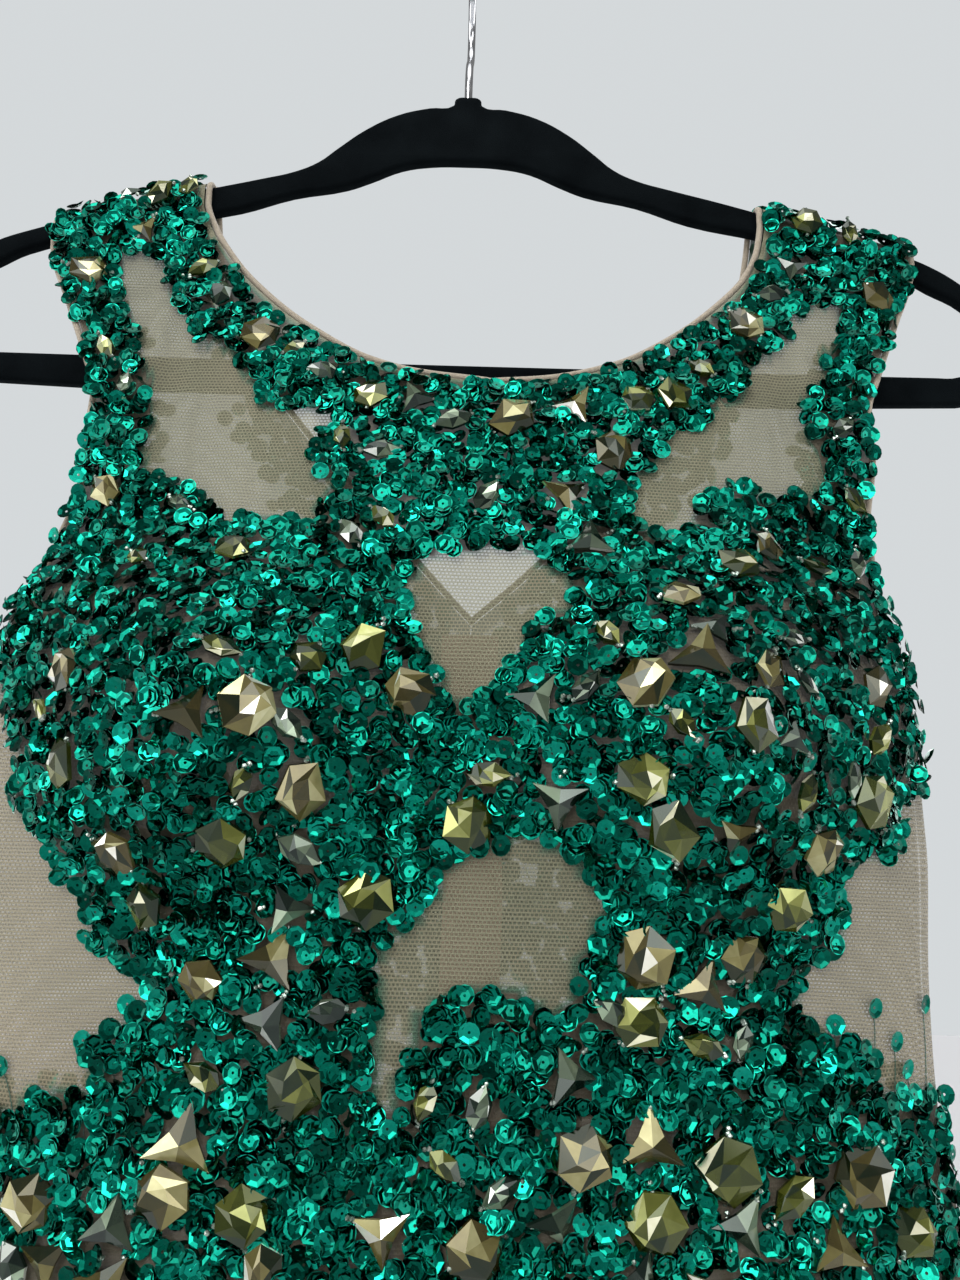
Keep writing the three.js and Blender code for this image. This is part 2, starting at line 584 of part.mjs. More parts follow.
// The slider sits outside, over the top of the seam, and its bridge carries the pull's eye.
{
  const z = ZIP.top - 8;
  const body = { wide: 6, tall: 9, deep: 2.2 };
  const face = outerFace(1, seam(z), z - body.tall / 2).y + SEAM;
  const pin = { r: 0.8, out: 3.2, z: z + 2 }; // out: from the body's back to the pin's axis
  const eye = { inner: 1.3, outer: 2.5, wide: 2.4 };
  const ear = { thick: 1.2, tall: 3.6, gap: 0.35 };
  const box = (x, y, zz, cx, cy, cz) => solidOf(new THREE.BoxGeometry(x, y, zz).translate(cx, cy, cz));
  const cylinderX = (r, length, y, zz, sides) =>
    solidOf(new THREE.CylinderGeometry(r, r, length, sides).rotateZ(Math.PI / 2).translate(seam(z), y, zz));
  const axisY = face + body.deep + pin.out;
  const earX = eye.wide / 2 + ear.gap + ear.thick / 2;
  let slider = box(body.wide, body.deep, body.tall, seam(z), face + body.deep / 2, z);
  for (const sign of [-1, 1]) {
    slider = slider.add(box(ear.thick, pin.out + 1.6, ear.tall, seam(z) + sign * earX,
      face + body.deep + (pin.out + 1.6) / 2 - 0.1, pin.z));
  }
  slider = slider.add(cylinderX(pin.r, 2 * earX, axisY, pin.z, 12));
  add('zip_slider', geometryOf(slider), MATERIALS.slider);

  const ringSolid = cylinderX(eye.outer, eye.wide, axisY, pin.z, 16)
    .subtract(cylinderX(eye.inner, eye.wide + 2, axisY, pin.z, 16));
  const drop = new THREE.Shape();
  drop.moveTo(-1, -eye.inner - 0.5);
  drop.bezierCurveTo(-1.2, -9, -3.4, -14, -3.4, -17.5);
  drop.absarc(0, -17.5, 3.4, Math.PI, 2 * Math.PI, false);
  drop.bezierCurveTo(3.4, -14, 1.2, -9, 1, -eye.inner - 0.5);
  const tab = new THREE.ExtrudeGeometry(drop, { depth: 1.3, bevelEnabled: false, curveSegments: 8 });
  tab.translate(0, 0, -0.65).rotateX(Math.PI / 2).translate(seam(z), axisY, pin.z);
  add('zip_pull', geometryOf(ringSolid.add(solidOf(tab))), MATERIALS.slider);
}

export default group;
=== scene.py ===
import math

import bpy
import numpy as np
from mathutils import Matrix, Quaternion, Vector


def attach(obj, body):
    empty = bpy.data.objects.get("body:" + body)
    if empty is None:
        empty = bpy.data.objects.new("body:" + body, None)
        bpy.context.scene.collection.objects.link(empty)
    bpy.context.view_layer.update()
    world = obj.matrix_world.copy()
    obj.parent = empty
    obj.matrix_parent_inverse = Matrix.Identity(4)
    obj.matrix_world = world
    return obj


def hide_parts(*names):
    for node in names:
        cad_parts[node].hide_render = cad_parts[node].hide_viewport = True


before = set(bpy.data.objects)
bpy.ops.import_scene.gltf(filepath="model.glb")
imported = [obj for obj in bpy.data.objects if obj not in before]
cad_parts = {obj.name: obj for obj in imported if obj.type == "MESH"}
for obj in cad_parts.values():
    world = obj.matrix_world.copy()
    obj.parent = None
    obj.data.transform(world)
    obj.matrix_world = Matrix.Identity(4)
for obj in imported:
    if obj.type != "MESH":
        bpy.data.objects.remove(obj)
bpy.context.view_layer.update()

# Room: a plain pale floor under the gown, four soft lights and a dim studio with ten bright panels, which
# the sequins and stones pick up. The camera stands close, a little below the bust, looking up.
CAMERA = dict(place=(0.012, -0.374, -0.392), tilt=math.radians(12), roll=math.radians(1.6), focal=965 / 1280)
FLOOR_HEIGHT = -1.64
DIM_ROOM = 0.24
scene = bpy.context.scene
scene.view_settings.view_transform = "Standard"


def material_named(name):
    """A new material with its node tree and Principled shader."""
    finish = bpy.data.materials.new(name)
    finish.use_nodes = True
    return finish, finish.node_tree, finish.node_tree.nodes["Principled BSDF"]


def tuned(shader, settings):
    """Sets constants on the shader's own sockets."""
    for socket, value in settings.items():
        shader.inputs[socket].default_value = value


def sums(tree, operation, *values):
    """A Math node over sockets and plain numbers."""
    step = tree.nodes.new("ShaderNodeMath")
    step.operation = operation
    for socket, value in zip(step.inputs, values):
        if isinstance(value, (int, float)):
            socket.default_value = value
        else:
            tree.links.new(value, socket)
    return step.outputs[0]


bpy.ops.object.camera_add(location=CAMERA["place"])
camera = bpy.context.object
camera.name = "camera"
camera.rotation_mode = "QUATERNION"
ahead = Vector((0, math.cos(CAMERA["tilt"]), math.sin(CAMERA["tilt"])))
camera.rotation_quaternion = ahead.to_track_quat("-Z", "Y") @ Quaternion((0, 0, 1), CAMERA["roll"])
camera.data.sensor_width = 36
camera.data.lens = CAMERA["focal"] * 36
camera.data.clip_start = 0.01
scene.camera = camera

bpy.ops.mesh.primitive_plane_add(size=14, location=(0, 0, FLOOR_HEIGHT))
floor = bpy.context.object
floor.name = "floor"
paint, tree, shader = material_named("floor_paint")
tuned(shader, {"Base Color": (0.72, 0.73, 0.75, 1), "Roughness": 0.8})
floor.data.materials.append(paint)

for name, place, size, power in [  # all face the bust
    ("light_above", (-0.45, -1.25, 0.95), 0.7, 5.6),
    ("light_right", (1.7, -0.45, -0.35), 0.9, 5),
    ("light_left", (-1.7, -0.45, -0.55), 0.9, 5),
    ("light_back", (0.2, 2.2, 0.3), 2.0, 8),
]:
    bpy.ops.object.light_add(type="AREA", location=place)
    light = bpy.context.object
    light.name = name
    light.data.size = size
    light.data.energy = power
    light.rotation_mode = "QUATERNION"
    light.rotation_quaternion = (Vector((0, 0, -0.45)) - Vector(place)).to_track_quat("-Z", "Y")

studio = bpy.data.worlds.new("studio")
scene.world = studio
studio.use_nodes = True
tree = studio.node_tree
tree.nodes.clear()
out, pick, path, pale, room, look = [tree.nodes.new(f"ShaderNode{kind}") for kind in (
    "OutputWorld", "MixShader", "LightPath", "Background", "Background", "TexCoord")]
pale.inputs["Color"].default_value = (0.66, 0.69, 0.705, 1)
total = None
for x, y, z, near, far, bright in [  # each panel's direction, soft edge as two cosines, and strength
    (-0.30, -0.80, 0.52, 0.95, 0.98, 6.0),
    (0.42, -0.86, 0.28, 0.972, 0.99, 6.5),
    (-0.62, -0.77, -0.12, 0.975, 0.99, 4.5),
    (0.10, -0.95, -0.32, 0.98, 0.992, 4.0),
    (0.85, -0.45, -0.28, 0.96, 0.98, 4.0),
    (-0.90, -0.30, 0.30, 0.95, 0.98, 4.0),
    (0.0, -0.25, 0.97, 0.85, 0.96, 2.4),
    (0.2, 0.95, 0.25, 0.92, 0.98, 3.0),
    (-0.75, 0.65, -0.1, 0.95, 0.98, 3.5),
    (0.80, 0.55, 0.2, 0.95, 0.98, 3.5),
]:
    towards = tree.nodes.new("ShaderNodeVectorMath")
    towards.operation = "DOT_PRODUCT"
    towards.inputs[1].default_value = Vector((x, y, z)).normalized()
    tree.links.new(look.outputs["Generated"], towards.inputs[0])
    glow = tree.nodes.new("ShaderNodeMapRange")
    glow.interpolation_type = "SMOOTHSTEP"
    tuned(glow, {"From Min": near, "From Max": far, "To Min": 0, "To Max": bright})
    tree.links.new(towards.outputs["Value"], glow.inputs["Value"])
    total = sums(tree, "ADD", total, glow.outputs["Result"]) if total else glow.outputs["Result"]
tree.links.new(sums(tree, "ADD", total, DIM_ROOM), room.inputs["Strength"])
for source, socket in ((path.outputs["Is Camera Ray"], pick.inputs["Fac"]), (room.outputs[0], pick.inputs[1]),
                       (pale.outputs[0], pick.inputs[2]), (pick.outputs[0], out.inputs["Surface"])):
    tree.links.new(source, socket)

# Hanger: one moulded board, 6 mm thick with rounded edges, covered all over in black flock. The arms
# and the trouser bar are one loop.
ARM_TOP = [  # millimetres across and down, one arm
    (0, -65), (5.5, -66), (6.5, -69.3), (17, -71), (31, -75), (45, -83), (57, -93), (65, -100), (75, -105),
    (89, -109), (114, -115.5), (150, -126), (189, -138), (201, -143), (214, -151.5), (226, -163),
    (232, -176), (230, -191), (222, -202.5), (209, -207)]
ARM_UNDER = [
    (0, -98), (15, -98.5), (28, -101), (41, -107), (52, -111.5), (75, -116.5), (98, -124.5), (130, -131),
    (188, -147), (200, -154), (214, -162), (220, -170), (221.5, -179), (218, -189), (210, -194.3),
    (199, -195)]


def grain(tree, scale, detail):
    """Noise over the piece's own place in metres, as a value."""
    place = tree.nodes.new("ShaderNodeTexCoord")
    noise = tree.nodes.new("ShaderNodeTexNoise")
    tuned(noise, {"Scale": scale, "Detail": detail})
    tree.links.new(place.outputs["Object"], noise.inputs["Vector"])
    return noise.outputs["Fac"]


def shades(tree, value, *stops):
    """Turns a value into colours through stops of (place, colour)."""
    ramp = tree.nodes.new("ShaderNodeValToRGB")
    points = ramp.color_ramp.elements
    while len(points) < len(stops):
        points.new(0.5)
    for point, (where, colour) in zip(points, stops):
        point.position = where
        point.color = (*colour, 1)
    tree.links.new(value, ramp.inputs["Fac"])
    return ramp.outputs["Color"]


def mottled(tree, socket, scale, detail, *stops):
    """Feeds a socket with noise turned into colours."""
    tree.links.new(shades(tree, grain(tree, scale, detail), *stops), socket)


def raised(tree, shader, height, distance, strength):
    """Bumps the shader's surface by a height mask, in metres."""
    bump = tree.nodes.new("ShaderNodeBump")
    tuned(bump, {"Strength": strength, "Distance": distance})
    tree.links.new(height, bump.inputs["Height"])
    tree.links.new(bump.outputs["Normal"], shader.inputs["Normal"])


def weld(gap):
    """Merges the active mesh's vertices closer than a gap and turns its faces outward."""
    bpy.ops.object.mode_set(mode="EDIT")
    bpy.ops.mesh.select_all(action="SELECT")
    bpy.ops.mesh.remove_doubles(threshold=gap)
    bpy.ops.mesh.normals_make_consistent(inside=False)
    bpy.ops.object.mode_set(mode="OBJECT")


def empty_curve(name, dimensions):
    """A new curve object without lines."""
    bpy.ops.object.select_all(action="DESELECT")
    bpy.ops.curve.primitive_bezier_curve_add(radius=0.01, location=(0, 0, 0))
    curve = bpy.context.object
    curve.name = name
    curve.data.dimensions = dimensions
    curve.data.splines.clear()
    return curve


def run_line(curve, kind, places, closed):
    """One line of a curve through places in millimetres, smooth if its kind is BEZIER."""
    line = curve.data.splines.new(kind)
    knots = line.bezier_points if kind == "BEZIER" else line.points
    knots.add(len(places) - 1)
    line.use_cyclic_u = closed
    for knot, place in zip(knots, np.array(places, float) / 1000):
        if kind == "BEZIER":
            knot.co = place
            knot.handle_left_type = knot.handle_right_type = "AUTO"
        else:
            knot.co = (*place, 1)


board = empty_curve("flocked_hanger", "2D")
board.data.fill_mode = "BOTH"
board.data.resolution_u = 4
for arm in (ARM_TOP, ARM_UNDER):
    loop = arm + [(-x, z) for x, z in reversed(arm) if x > 0]
    run_line(board, "BEZIER", [(x, z, 0) for x, z in loop], True)
board.data.extrude = 0.0012
board.data.bevel_depth = 0.0018
board.data.bevel_resolution = 3
board.data.offset = -0.0018
board.rotation_euler = (math.pi / 2, 0, 0)
bpy.ops.object.convert(target="MESH")
bpy.ops.object.transform_apply(location=True, rotation=True, scale=True)
weld(1e-5)
bpy.ops.object.shade_smooth_by_angle(angle=math.radians(40))
flock, tree, shader = material_named("black_flock")
mottled(tree, shader.inputs["Base Color"], 55, 3,
        (0.3, (0.0012, 0.0020, 0.0026)), (0.75, (0.0035, 0.0052, 0.0062)))
tuned(shader, {"Roughness": 1.0, "Specular IOR Level": 0.05, "Sheen Weight": 0.035, "Sheen Roughness": 0.45,
               "Sheen Tint": (0.12, 0.30, 0.38, 1)})
raised(tree, shader, grain(tree, 2600, 2), 0.0004, 0.7)
board.data.materials.append(flock)
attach(board, "gown")
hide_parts("hanger")

# Hook: one bent steel wire, 3.5 mm thick and chromed. It stands in the board's socket, jogs back and
# turns over the rail; the far end is cut round.
HOOK_STEM = [(0, -76.5), (0, -64), (0, -54), (2.2, -47), (8.2, -38)]
HOOK_TURN = [(20 * math.cos(math.radians(d)), -18.25 + 20 * math.sin(math.radians(d)))
             for d in range(-48, 206, 11)]
hook = empty_curve("wire_hook", "3D")
hook.data.resolution_u = 6
run_line(hook, "BEZIER", [(0, y, z) for y, z in HOOK_STEM + HOOK_TURN], False)
hook.data.bevel_depth = 0.00175
hook.data.bevel_resolution = 5
hook.data.use_fill_caps = True
bpy.ops.object.convert(target="MESH")
bpy.ops.object.shade_smooth_by_angle(angle=math.radians(50))
wire, tree, shader = material_named("chromed_wire")
tuned(shader, {"Metallic": 1.0})
mottled(tree, shader.inputs["Base Color"], 300, 3, (0.3, (0.60, 0.62, 0.65)), (0.7, (0.78, 0.79, 0.81)))
mottled(tree, shader.inputs["Roughness"], 120, 4, (0.35, (0.10,) * 3), (0.8, (0.26,) * 3))
hook.data.materials.append(wire)
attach(hook, "gown")
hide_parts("hook")

# Gown's cloth: sheer nude tulle over a body-shaped cut, in one front and two halves behind that meet at
# the zip. The straps lie over the hanger's arms and meet the back at the shoulders. Soft creases hang
# from the straps and the bust.
SECTIONS = dict(  # millimetres, from shoulder to hem
    z=[-105, -146, -174, -199, -218, -236, -259, -284, -298, -310, -348, -388, -440, -474, -502, -560,
       -640, -760, -1000, -1300, -1600],
    half=[183, 181.5, 171.3, 161, 154.8, 155.3, 154.4, 160.5, 167.8, 173.8, 176.4, 176.7, 175.2, 175.9,
          178.9, 193, 215.5, 227, 250, 290, 330],
    front=[6.5, 8, 13, 18.5, 23, 27.5, 33, 38, 41, 43, 48, 49, 46, 46, 48, 53, 60, 64, 68, 74, 80],
    front_edge=[6, 6.2, 8.5, 12, 14, 14.5, 13.5, 10, 5.5] + [0] * 12,
    back=[6.5, 7.5, 10, 13, 16, 18.5, 22, 25, 27, 28, 31, 32, 30, 30, 31, 36, 42, 44, 48, 56, 64],
    back_edge=[6, 6.2, 8, 10, 11.5, 12, 11, 8, 4.5] + [0] * 12,
    shift=[8.5, 8.5, 9, 9.5, 9.8, 9.7, 7.9, 4.5, 2.3, 1.8, 3.4, 3.7, 3.2, 2.9, 2.9, 2, 1.5, 1, 0, 0, 0])
SCOOP = dict(g=[-100, -125, -139, -155, -170, -187, -203, -210, -213.3],
             half=[121, 120.5, 117, 108.5, 95.5, 76, 50, 26, 0], split=-187)
VEE = dict(g=[-100, -150, -190, -215, -235, -253, -270, -285, -301],
           half=[121, 115, 99, 82, 65, 48, 32, 17, 0], split=-235)
NECKLINES = {-1: SCOOP, 1: VEE}
LEANS = {  # how far the scoop's middle and the centre-back seam hang to the right of the gown's middle
    -1: dict(g=[-310, -230, -160, -125], lean=[0, 4, 4, 0]),
    1: dict(g=[-1600, -900, -560, -425, -340, -301, -260, -200], lean=[0, 2, 6, 8.5, 5.5, 6, 3, 0])}
ARMPIT = -310
SHOULDER = -146  # above here a strap keeps its width
STRAP_SHIFT = 8.5  # how far the straps hang to the right
BEND = 5.85  # radius of a strap's bend over the hanger's arm
STRAP_ARC = BEND * math.pi / 2
ARM_LIFT = 0.95 + 1.6 - BEND  # from the arm's top to where the bend starts
THINNEST = 0.15  # least distance of the cloth from the gown's middle plane
SEAM_ROOM = 0.15  # from the centre-back seam's line to each panel's edge
COLUMNS = 48
CUP = dict(a=88, g=-352, out=32, wide=52, above=57, below=43)
FLUTE = dict(start=-820, over=780, deep=15)
CREASES = dict(  # soft ridges (or troughs, if the height is negative) from one place on the cloth to another
    side=[-1] * 11 + [1] * 6,
    a0=[-130, -119, 127, 120, -175, -167, 174, 11, 23, 1, 35, -121, -96, 117, 87, -147, 144],
    g0=[-165, -175, -178, -186, -392, -398, -372, -400, -402, -300, -300, -180, -190, -176, -200, -340, -330],
    a1=[-141, -134, 134, 117, -169, -159, 177, 7, 31, 5, 30, -123, -113, 130, 117, -159, 159],
    g1=[-240, -245, -255, -250, -478, -470, -465, -440, -436, -338, -335, -300, -310, -290, -320, -470, -450],
    wide=[3.5, 6, 3.5, 5, 4, 6, 5, 5, 4, 5, 4, 5, 7, 5, 7, 6, 6],
    high=[1.6, -1.2, 1.5, -1.0, 1.2, -1.2, 1.3, 0.9, -0.8, 1.0, -0.9, 1.8, -1.5, 1.6, -1.4, 1.6, -1.4])
WINDOWS = [  # sheer windows in the front's beading, from the gown's middle line
    [(-152, -153), (-145, -150), (-132, -157), (-130, -171), (-119, -184), (-114, -198), (-108, -192),
     (-102, -199), (-92, -212), (-86, -224), (-72, -228), (-56, -232), (-64, -246), (-60, -258),
     (-50, -260), (-56, -271), (-53, -278), (-58, -282), (-65, -276), (-89, -278), (-103, -264),
     (-118, -256), (-127, -256), (-133, -245), (-129, -236), (-132, -214), (-140, -201), (-143, -181),
     (-149, -178)],
    [(78, -281), (68, -280), (58, -268), (60, -257), (68, -248), (76, -230), (88, -230), (94, -218),
     (103, -216), (107, -201), (121, -190), (129, -186), (127, -177), (141, -166), (149, -170), (149, -183),
     (137, -194), (140, -203), (128, -215), (128, -228), (134, -242), (138, -253), (125, -256), (115, -261),
     (108, -260), (101, -254), (92, -258), (84, -266), (84, -276)],
    [(-17, -301), (-10, -292), (4, -288), (21, -287), (38, -298), (46, -304), (41, -309), (32, -315),
     (23, -326), (16, -337), (9, -344), (-1, -344), (-7, -331), (-12, -323), (-16, -313)],
    [(-3, -400), (10, -395), (29, -388), (43, -396), (50, -404), (53, -410), (47, -418), (44, -428),
     (43, -440), (38, -445), (28, -443), (22, -437), (12, -439), (2, -438), (-4, -443), (-8, -450),
     (-11, -460), (-12, -468), (-17, -474), (-22, -469), (-21, -454), (-20, -442), (-24, -429), (-15, -420),
     (-6, -410)],
    [(-199, -318), (-172, -322), (-168, -340), (-159, -356), (-151, -366), (-154, -380), (-144, -388),
     (-138, -394), (-133, -405), (-125, -408), (-121, -417), (-119, -428), (-111, -431), (-100, -438),
     (-94, -444), (-108, -454), (-118, -461), (-110, -470), (-123, -475), (-144, -481), (-199, -481)],
    [(202, -354), (175, -356), (171, -367), (161, -372), (157, -386), (150, -393), (142, -394), (136, -391),
     (133, -398), (135, -410), (133, -423), (122, -426), (115, -436), (118, -446), (129, -449), (143, -455),
     (146, -468), (167, -469), (201, -469)]]


def curve_through(places, values):
    """A smooth function through a column of a table, that never overshoots its rows."""
    order = np.argsort(places)
    x, y = np.array(places, float)[order], np.array(values, float)[order]
    slope = np.diff(y) / np.diff(x)
    before, after = np.r_[slope[0], slope], np.r_[slope, slope[-1]]
    same = before * after > 0
    tangent = np.where(same, 2 * before * after / np.where(same, before + after, 1), 0)

    def at(where):
        where = np.clip(where, x[0], x[-1])
        i = np.clip(np.searchsorted(x, where, "right") - 1, 0, len(x) - 2)
        h = x[i + 1] - x[i]
        f = (where - x[i]) / h
        return (y[i] * (1 + 2 * f) * (1 - f) ** 2 + y[i + 1] * f * f * (3 - 2 * f)
                + tangent[i] * h * f * (1 - f) ** 2 + tangent[i + 1] * h * f * f * (f - 1))

    return at


def soft(f):
    f = np.clip(f, 0, 1)
    return f * f * (3 - 2 * f)


column = {name: curve_through(SECTIONS["z"], SECTIONS[name]) for name in SECTIONS}
half, shift = column["half"], column["shift"]
middle = {-1: column["front"], 1: column["back"]}
edge_out = {-1: column["front_edge"], 1: column["back_edge"]}
lean = {side: curve_through(LEANS[side]["g"], LEANS[side]["lean"]) for side in LEANS}


def arc_foot(x):
    """Height where a strap starts to bend over the hanger's arm."""
    arm = np.array(ARM_TOP[:14])
    return np.interp(np.abs(x), arm[:, 0], arm[:, 1]) + ARM_LIFT


def cloth_at(side, x, g):
    """Outer face of the cloth, in millimetres: x across, g the height along the cloth, side -1 in front."""
    x, g = np.broadcast_arrays(np.asarray(x, float), np.asarray(g, float))
    across = (x - shift(g)) / half(g)
    power = 0.4 + 0.6 * soft((g - ARMPIT) / 40)
    full = np.maximum(1 - np.minimum(1, np.abs(across)) ** 2, 0) ** power
    depth = edge_out[side](g) + (middle[side](g) - edge_out[side](g)) * full
    if side < 0:
        tall = np.where(g > CUP["g"], CUP["above"], CUP["below"])
        fade = full + (1 - full) * soft((g - ARMPIT) / 60)
        for cup in (-CUP["a"], CUP["a"]):
            off = ((x - shift(g) - cup) / CUP["wide"]) ** 2 + ((g - CUP["g"]) / tall) ** 2
            depth = depth + fade * CUP["out"] * np.exp(-off)
    flute = soft((FLUTE["start"] - g) / FLUTE["over"]) * FLUTE["deep"] * full
    phase = across * math.pi * 5 + (0 if side < 0 else math.pi)
    depth = depth + flute * np.cos(phase + 0.5 * np.sin(3 * across))
    away = x - shift(g)
    slack = full * soft((-150 - g) / 60)
    depth = depth + slack * (0.5 * np.sin(away / 23 + g / 61) * np.sin(g / 47 + 1)
                             + 0.35 * np.sin(away / 9 - g / 90))
    for s, a0, g0, a1, g1, wide, high in zip(*CREASES.values()):
        if s == side:
            run = np.array([a1 - a0, g1 - g0], float)
            f = ((away - a0) * run[0] + (g - g0) * run[1]) / (run @ run)
            off = ((away - a0) * run[1] - (g - g0) * run[0]) / np.sqrt(run @ run)
            fades = soft(f * 4) * soft((1 - f) * 3)
            bend = off + 2.5 * np.sin(f * 3)
            depth = depth + high * fades * np.exp(-(bend / wide) ** 2)
    foot = arc_foot(x)
    on_strap = np.where(g > -200, soft(1 - (foot - g) / 30), 0)
    depth = np.maximum(THINNEST, depth * (1 - on_strap) + 6 * on_strap)
    angle = np.maximum(0, (g - foot) / BEND)
    depth = np.where(g > foot, THINNEST + BEND * np.cos(angle), depth)
    height = np.where(g > foot, foot + BEND * np.sin(angle), g)
    return np.stack([x, side * depth, height], -1)


def cloth_normal(side, x, g):
    step = 0.5  # millimetres
    inner = shift(g) + np.clip(x - shift(g), step - half(g), half(g) - step)
    across = cloth_at(side, inner + step, g) - cloth_at(side, inner - step, g)
    up = cloth_at(side, inner, g + step) - cloth_at(side, inner, g - step)
    normal = np.cross(across, up) * -side
    return normal / np.linalg.norm(normal, axis=-1, keepdims=True)


def in_outline(outline, a, g):
    """Which places (arrays a, g) lie inside an outline."""
    inside = np.zeros(np.shape(a), bool)
    for (a0, g0), (a1, g1) in zip(outline, outline[1:] + outline[:1]):
        crosses = (g0 > g) != (g1 > g)
        inside ^= crosses & (a < (a1 - a0) * (g - g0) / (g1 - g0 if g1 != g0 else 1) + a0)
    return inside


def neck_line(side, sign, down):
    """Half a neckline, at the heights given and then round to the middle: places across, heights."""
    neckline = NECKLINES[side]
    across = curve_through(neckline["g"], neckline["half"])
    drop = curve_through(neckline["half"], neckline["g"])
    round_in = across(neckline["split"]) * np.sin(np.pi / 2 * np.linspace(1, 0, COLUMNS + 1))[1:]
    g = np.r_[down, drop(round_in)]
    return sign * np.r_[across(down), round_in] + lean[side](g), g


def neck_room(side, a, g):
    """Distance from places on the cloth to the neckline, negative inside the neck's opening."""
    a, g = np.asarray(a, float), np.asarray(g, float)
    room = np.full(a.shape, 1e3)
    open_half = {}
    for sign in (-1, 1):
        line_a, line_g = neck_line(side, sign, np.linspace(-90, NECKLINES[side]["split"], 24))
        for a0, g0, a1, g1 in zip(line_a, line_g, line_a[1:], line_g[1:]):
            run = np.hypot(a1 - a0, g1 - g0)
            f = np.clip(((a - a0) * (a1 - a0) + (g - g0) * (g1 - g0)) / run**2, 0, 1)
            room = np.minimum(room, np.hypot(a - a0 - f * (a1 - a0), g - g0 - f * (g1 - g0)))
        open_half[sign] = np.interp(g, line_g[::-1], line_a[::-1])
    is_open = (a > open_half[-1]) & (a < open_half[1]) & (g > NECKLINES[side]["g"][-1])
    return np.where(is_open, -room, room)


def bead_share(side, a, g):
    """How much of the cloth is beaded at a place, from 0 to 1."""
    share = 1 - soft((-700 - g) / 550)
    room = neck_room(side, a, g)
    if side < 0:
        for outline in WINDOWS:
            share = np.where(in_outline(outline, a, g), 0, share)
        return np.where(room < 2, 0, share)
    lobes = 1.8 * np.sin(g / 6.2) + 1.5 * np.sin(a / 7.1)
    band = np.interp(g, [-300, -270, -235, -190, -150], [26, 29, 27, 13, 10]) + lobes - room
    band = np.where(g > -318, band, -9)
    border = np.where(g > ARMPIT, np.abs(a) - half(np.minimum(g, SHOULDER)) + 18 + lobes, -9)
    waist = -374 - 8 * np.cos(a / 34) - 5 * np.sin(a / 15) - g
    side_window = in_outline(WINDOWS[4], a, g) | in_outline(WINDOWS[5], a, g)
    return np.where(side_window, 0, share * soft(np.maximum(np.maximum(band, border), waist) / 12 + 0.5))


def down_from(a, end):
    """Heights down a strap's edge: over the hanger's arm in five steps, then to an end in 25."""
    top = arc_foot(STRAP_SHIFT + a) + STRAP_ARC
    return np.r_[top - np.linspace(0, STRAP_ARC, 6), np.linspace(top - STRAP_ARC, end, 26)[1:]]


def panel(name, side, signs, rows_up, rows_down):
    """One panel of tulle: grids laid on the form half by half, then joined and merged."""
    neckline = NECKLINES[side]
    low = np.r_[np.linspace(ARMPIT, -520, 53), np.linspace(-526, -1600, rows_down)]
    fan = np.sin(np.pi / 2 * np.linspace(1, 0, COLUMNS + 1))
    parts = []
    for sign in signs:
        neck_a, neck_g = neck_line(side, sign, down_from(sign * neckline["half"][0], neckline["split"]))
        down = down_from(sign * half(SHOULDER), ARMPIT)
        out_a = sign * np.r_[half(np.minimum(down, SHOULDER)), half(ARMPIT) * fan[1:]]
        out_a += lean[side](ARMPIT) * np.r_[np.zeros(len(down)), 1 - fan[1:]]
        out_g = np.r_[down, np.full(COLUMNS, ARMPIT)]
        t = np.linspace(0, 1, rows_up)
        yoke = [inner[:, None] * (1 - t) + outer[:, None] * t
                for inner, outer in ((neck_a, out_a), (neck_g, out_g))]
        lower = (sign * half(low) * fan[:, None] + lean[side](low) * (1 - fan[:, None]),
                 np.broadcast_to(low, (COLUMNS + 1, len(low))))
        for away, g in (yoke, lower):
            rows, cols = away.shape
            bpy.ops.object.select_all(action="DESELECT")
            bpy.ops.mesh.primitive_grid_add(x_subdivisions=cols - 1, y_subdivisions=rows - 1, size=1)
            part = bpy.context.object
            if len(signs) == 1:
                away = lean[side](g) + sign * np.maximum(sign * (away - lean[side](g)), SEAM_ROOM)
            x = shift(g) + away
            part.data.vertices.foreach_set("co", (cloth_at(side, x, g) / 1000).ravel())
            places = np.stack([away, g], -1).reshape(-1, 2) / 1000
            corners = np.empty(len(part.data.loops), int)
            part.data.loops.foreach_get("vertex_index", corners)
            part.data.uv_layers[0].name = "Cloth"
            part.data.uv_layers["Cloth"].uv.foreach_set("vector", places[corners].ravel())
            away, g = away.ravel(), g.ravel()
            share = bead_share(side, away, g) * (1 if side < 0 else 0.62)
            # painted green bounce light from the sequins on the net near them, added to the beaded mask
            painted_green_bounce = np.maximum(soft((g + 310) / 40), soft((115 - np.abs(away)) / 40)) * soft((g + 620) / 100)
            for mask, value in (("beaded", np.maximum(share, 0.15 * painted_green_bounce)),
                                ("turned", np.clip((9 - neck_room(side, away, g)) / 3, 0, 1))):
                part.data.attributes.new(mask, "FLOAT", "POINT").data.foreach_set("value", value)
            parts.append(part)
    bpy.ops.object.select_all(action="DESELECT")
    for part in parts:
        part.select_set(True)
    bpy.context.view_layer.objects.active = parts[0]
    bpy.ops.object.join()
    sheet = bpy.context.object
    sheet.name = sheet.data.name = name
    weld(2e-5)
    spot = sheet.data.polygons[len(sheet.data.polygons) // 2]
    if spot.normal.y * side < 0:
        sheet.data.flip_normals()
    bpy.ops.object.shade_smooth()
    return sheet


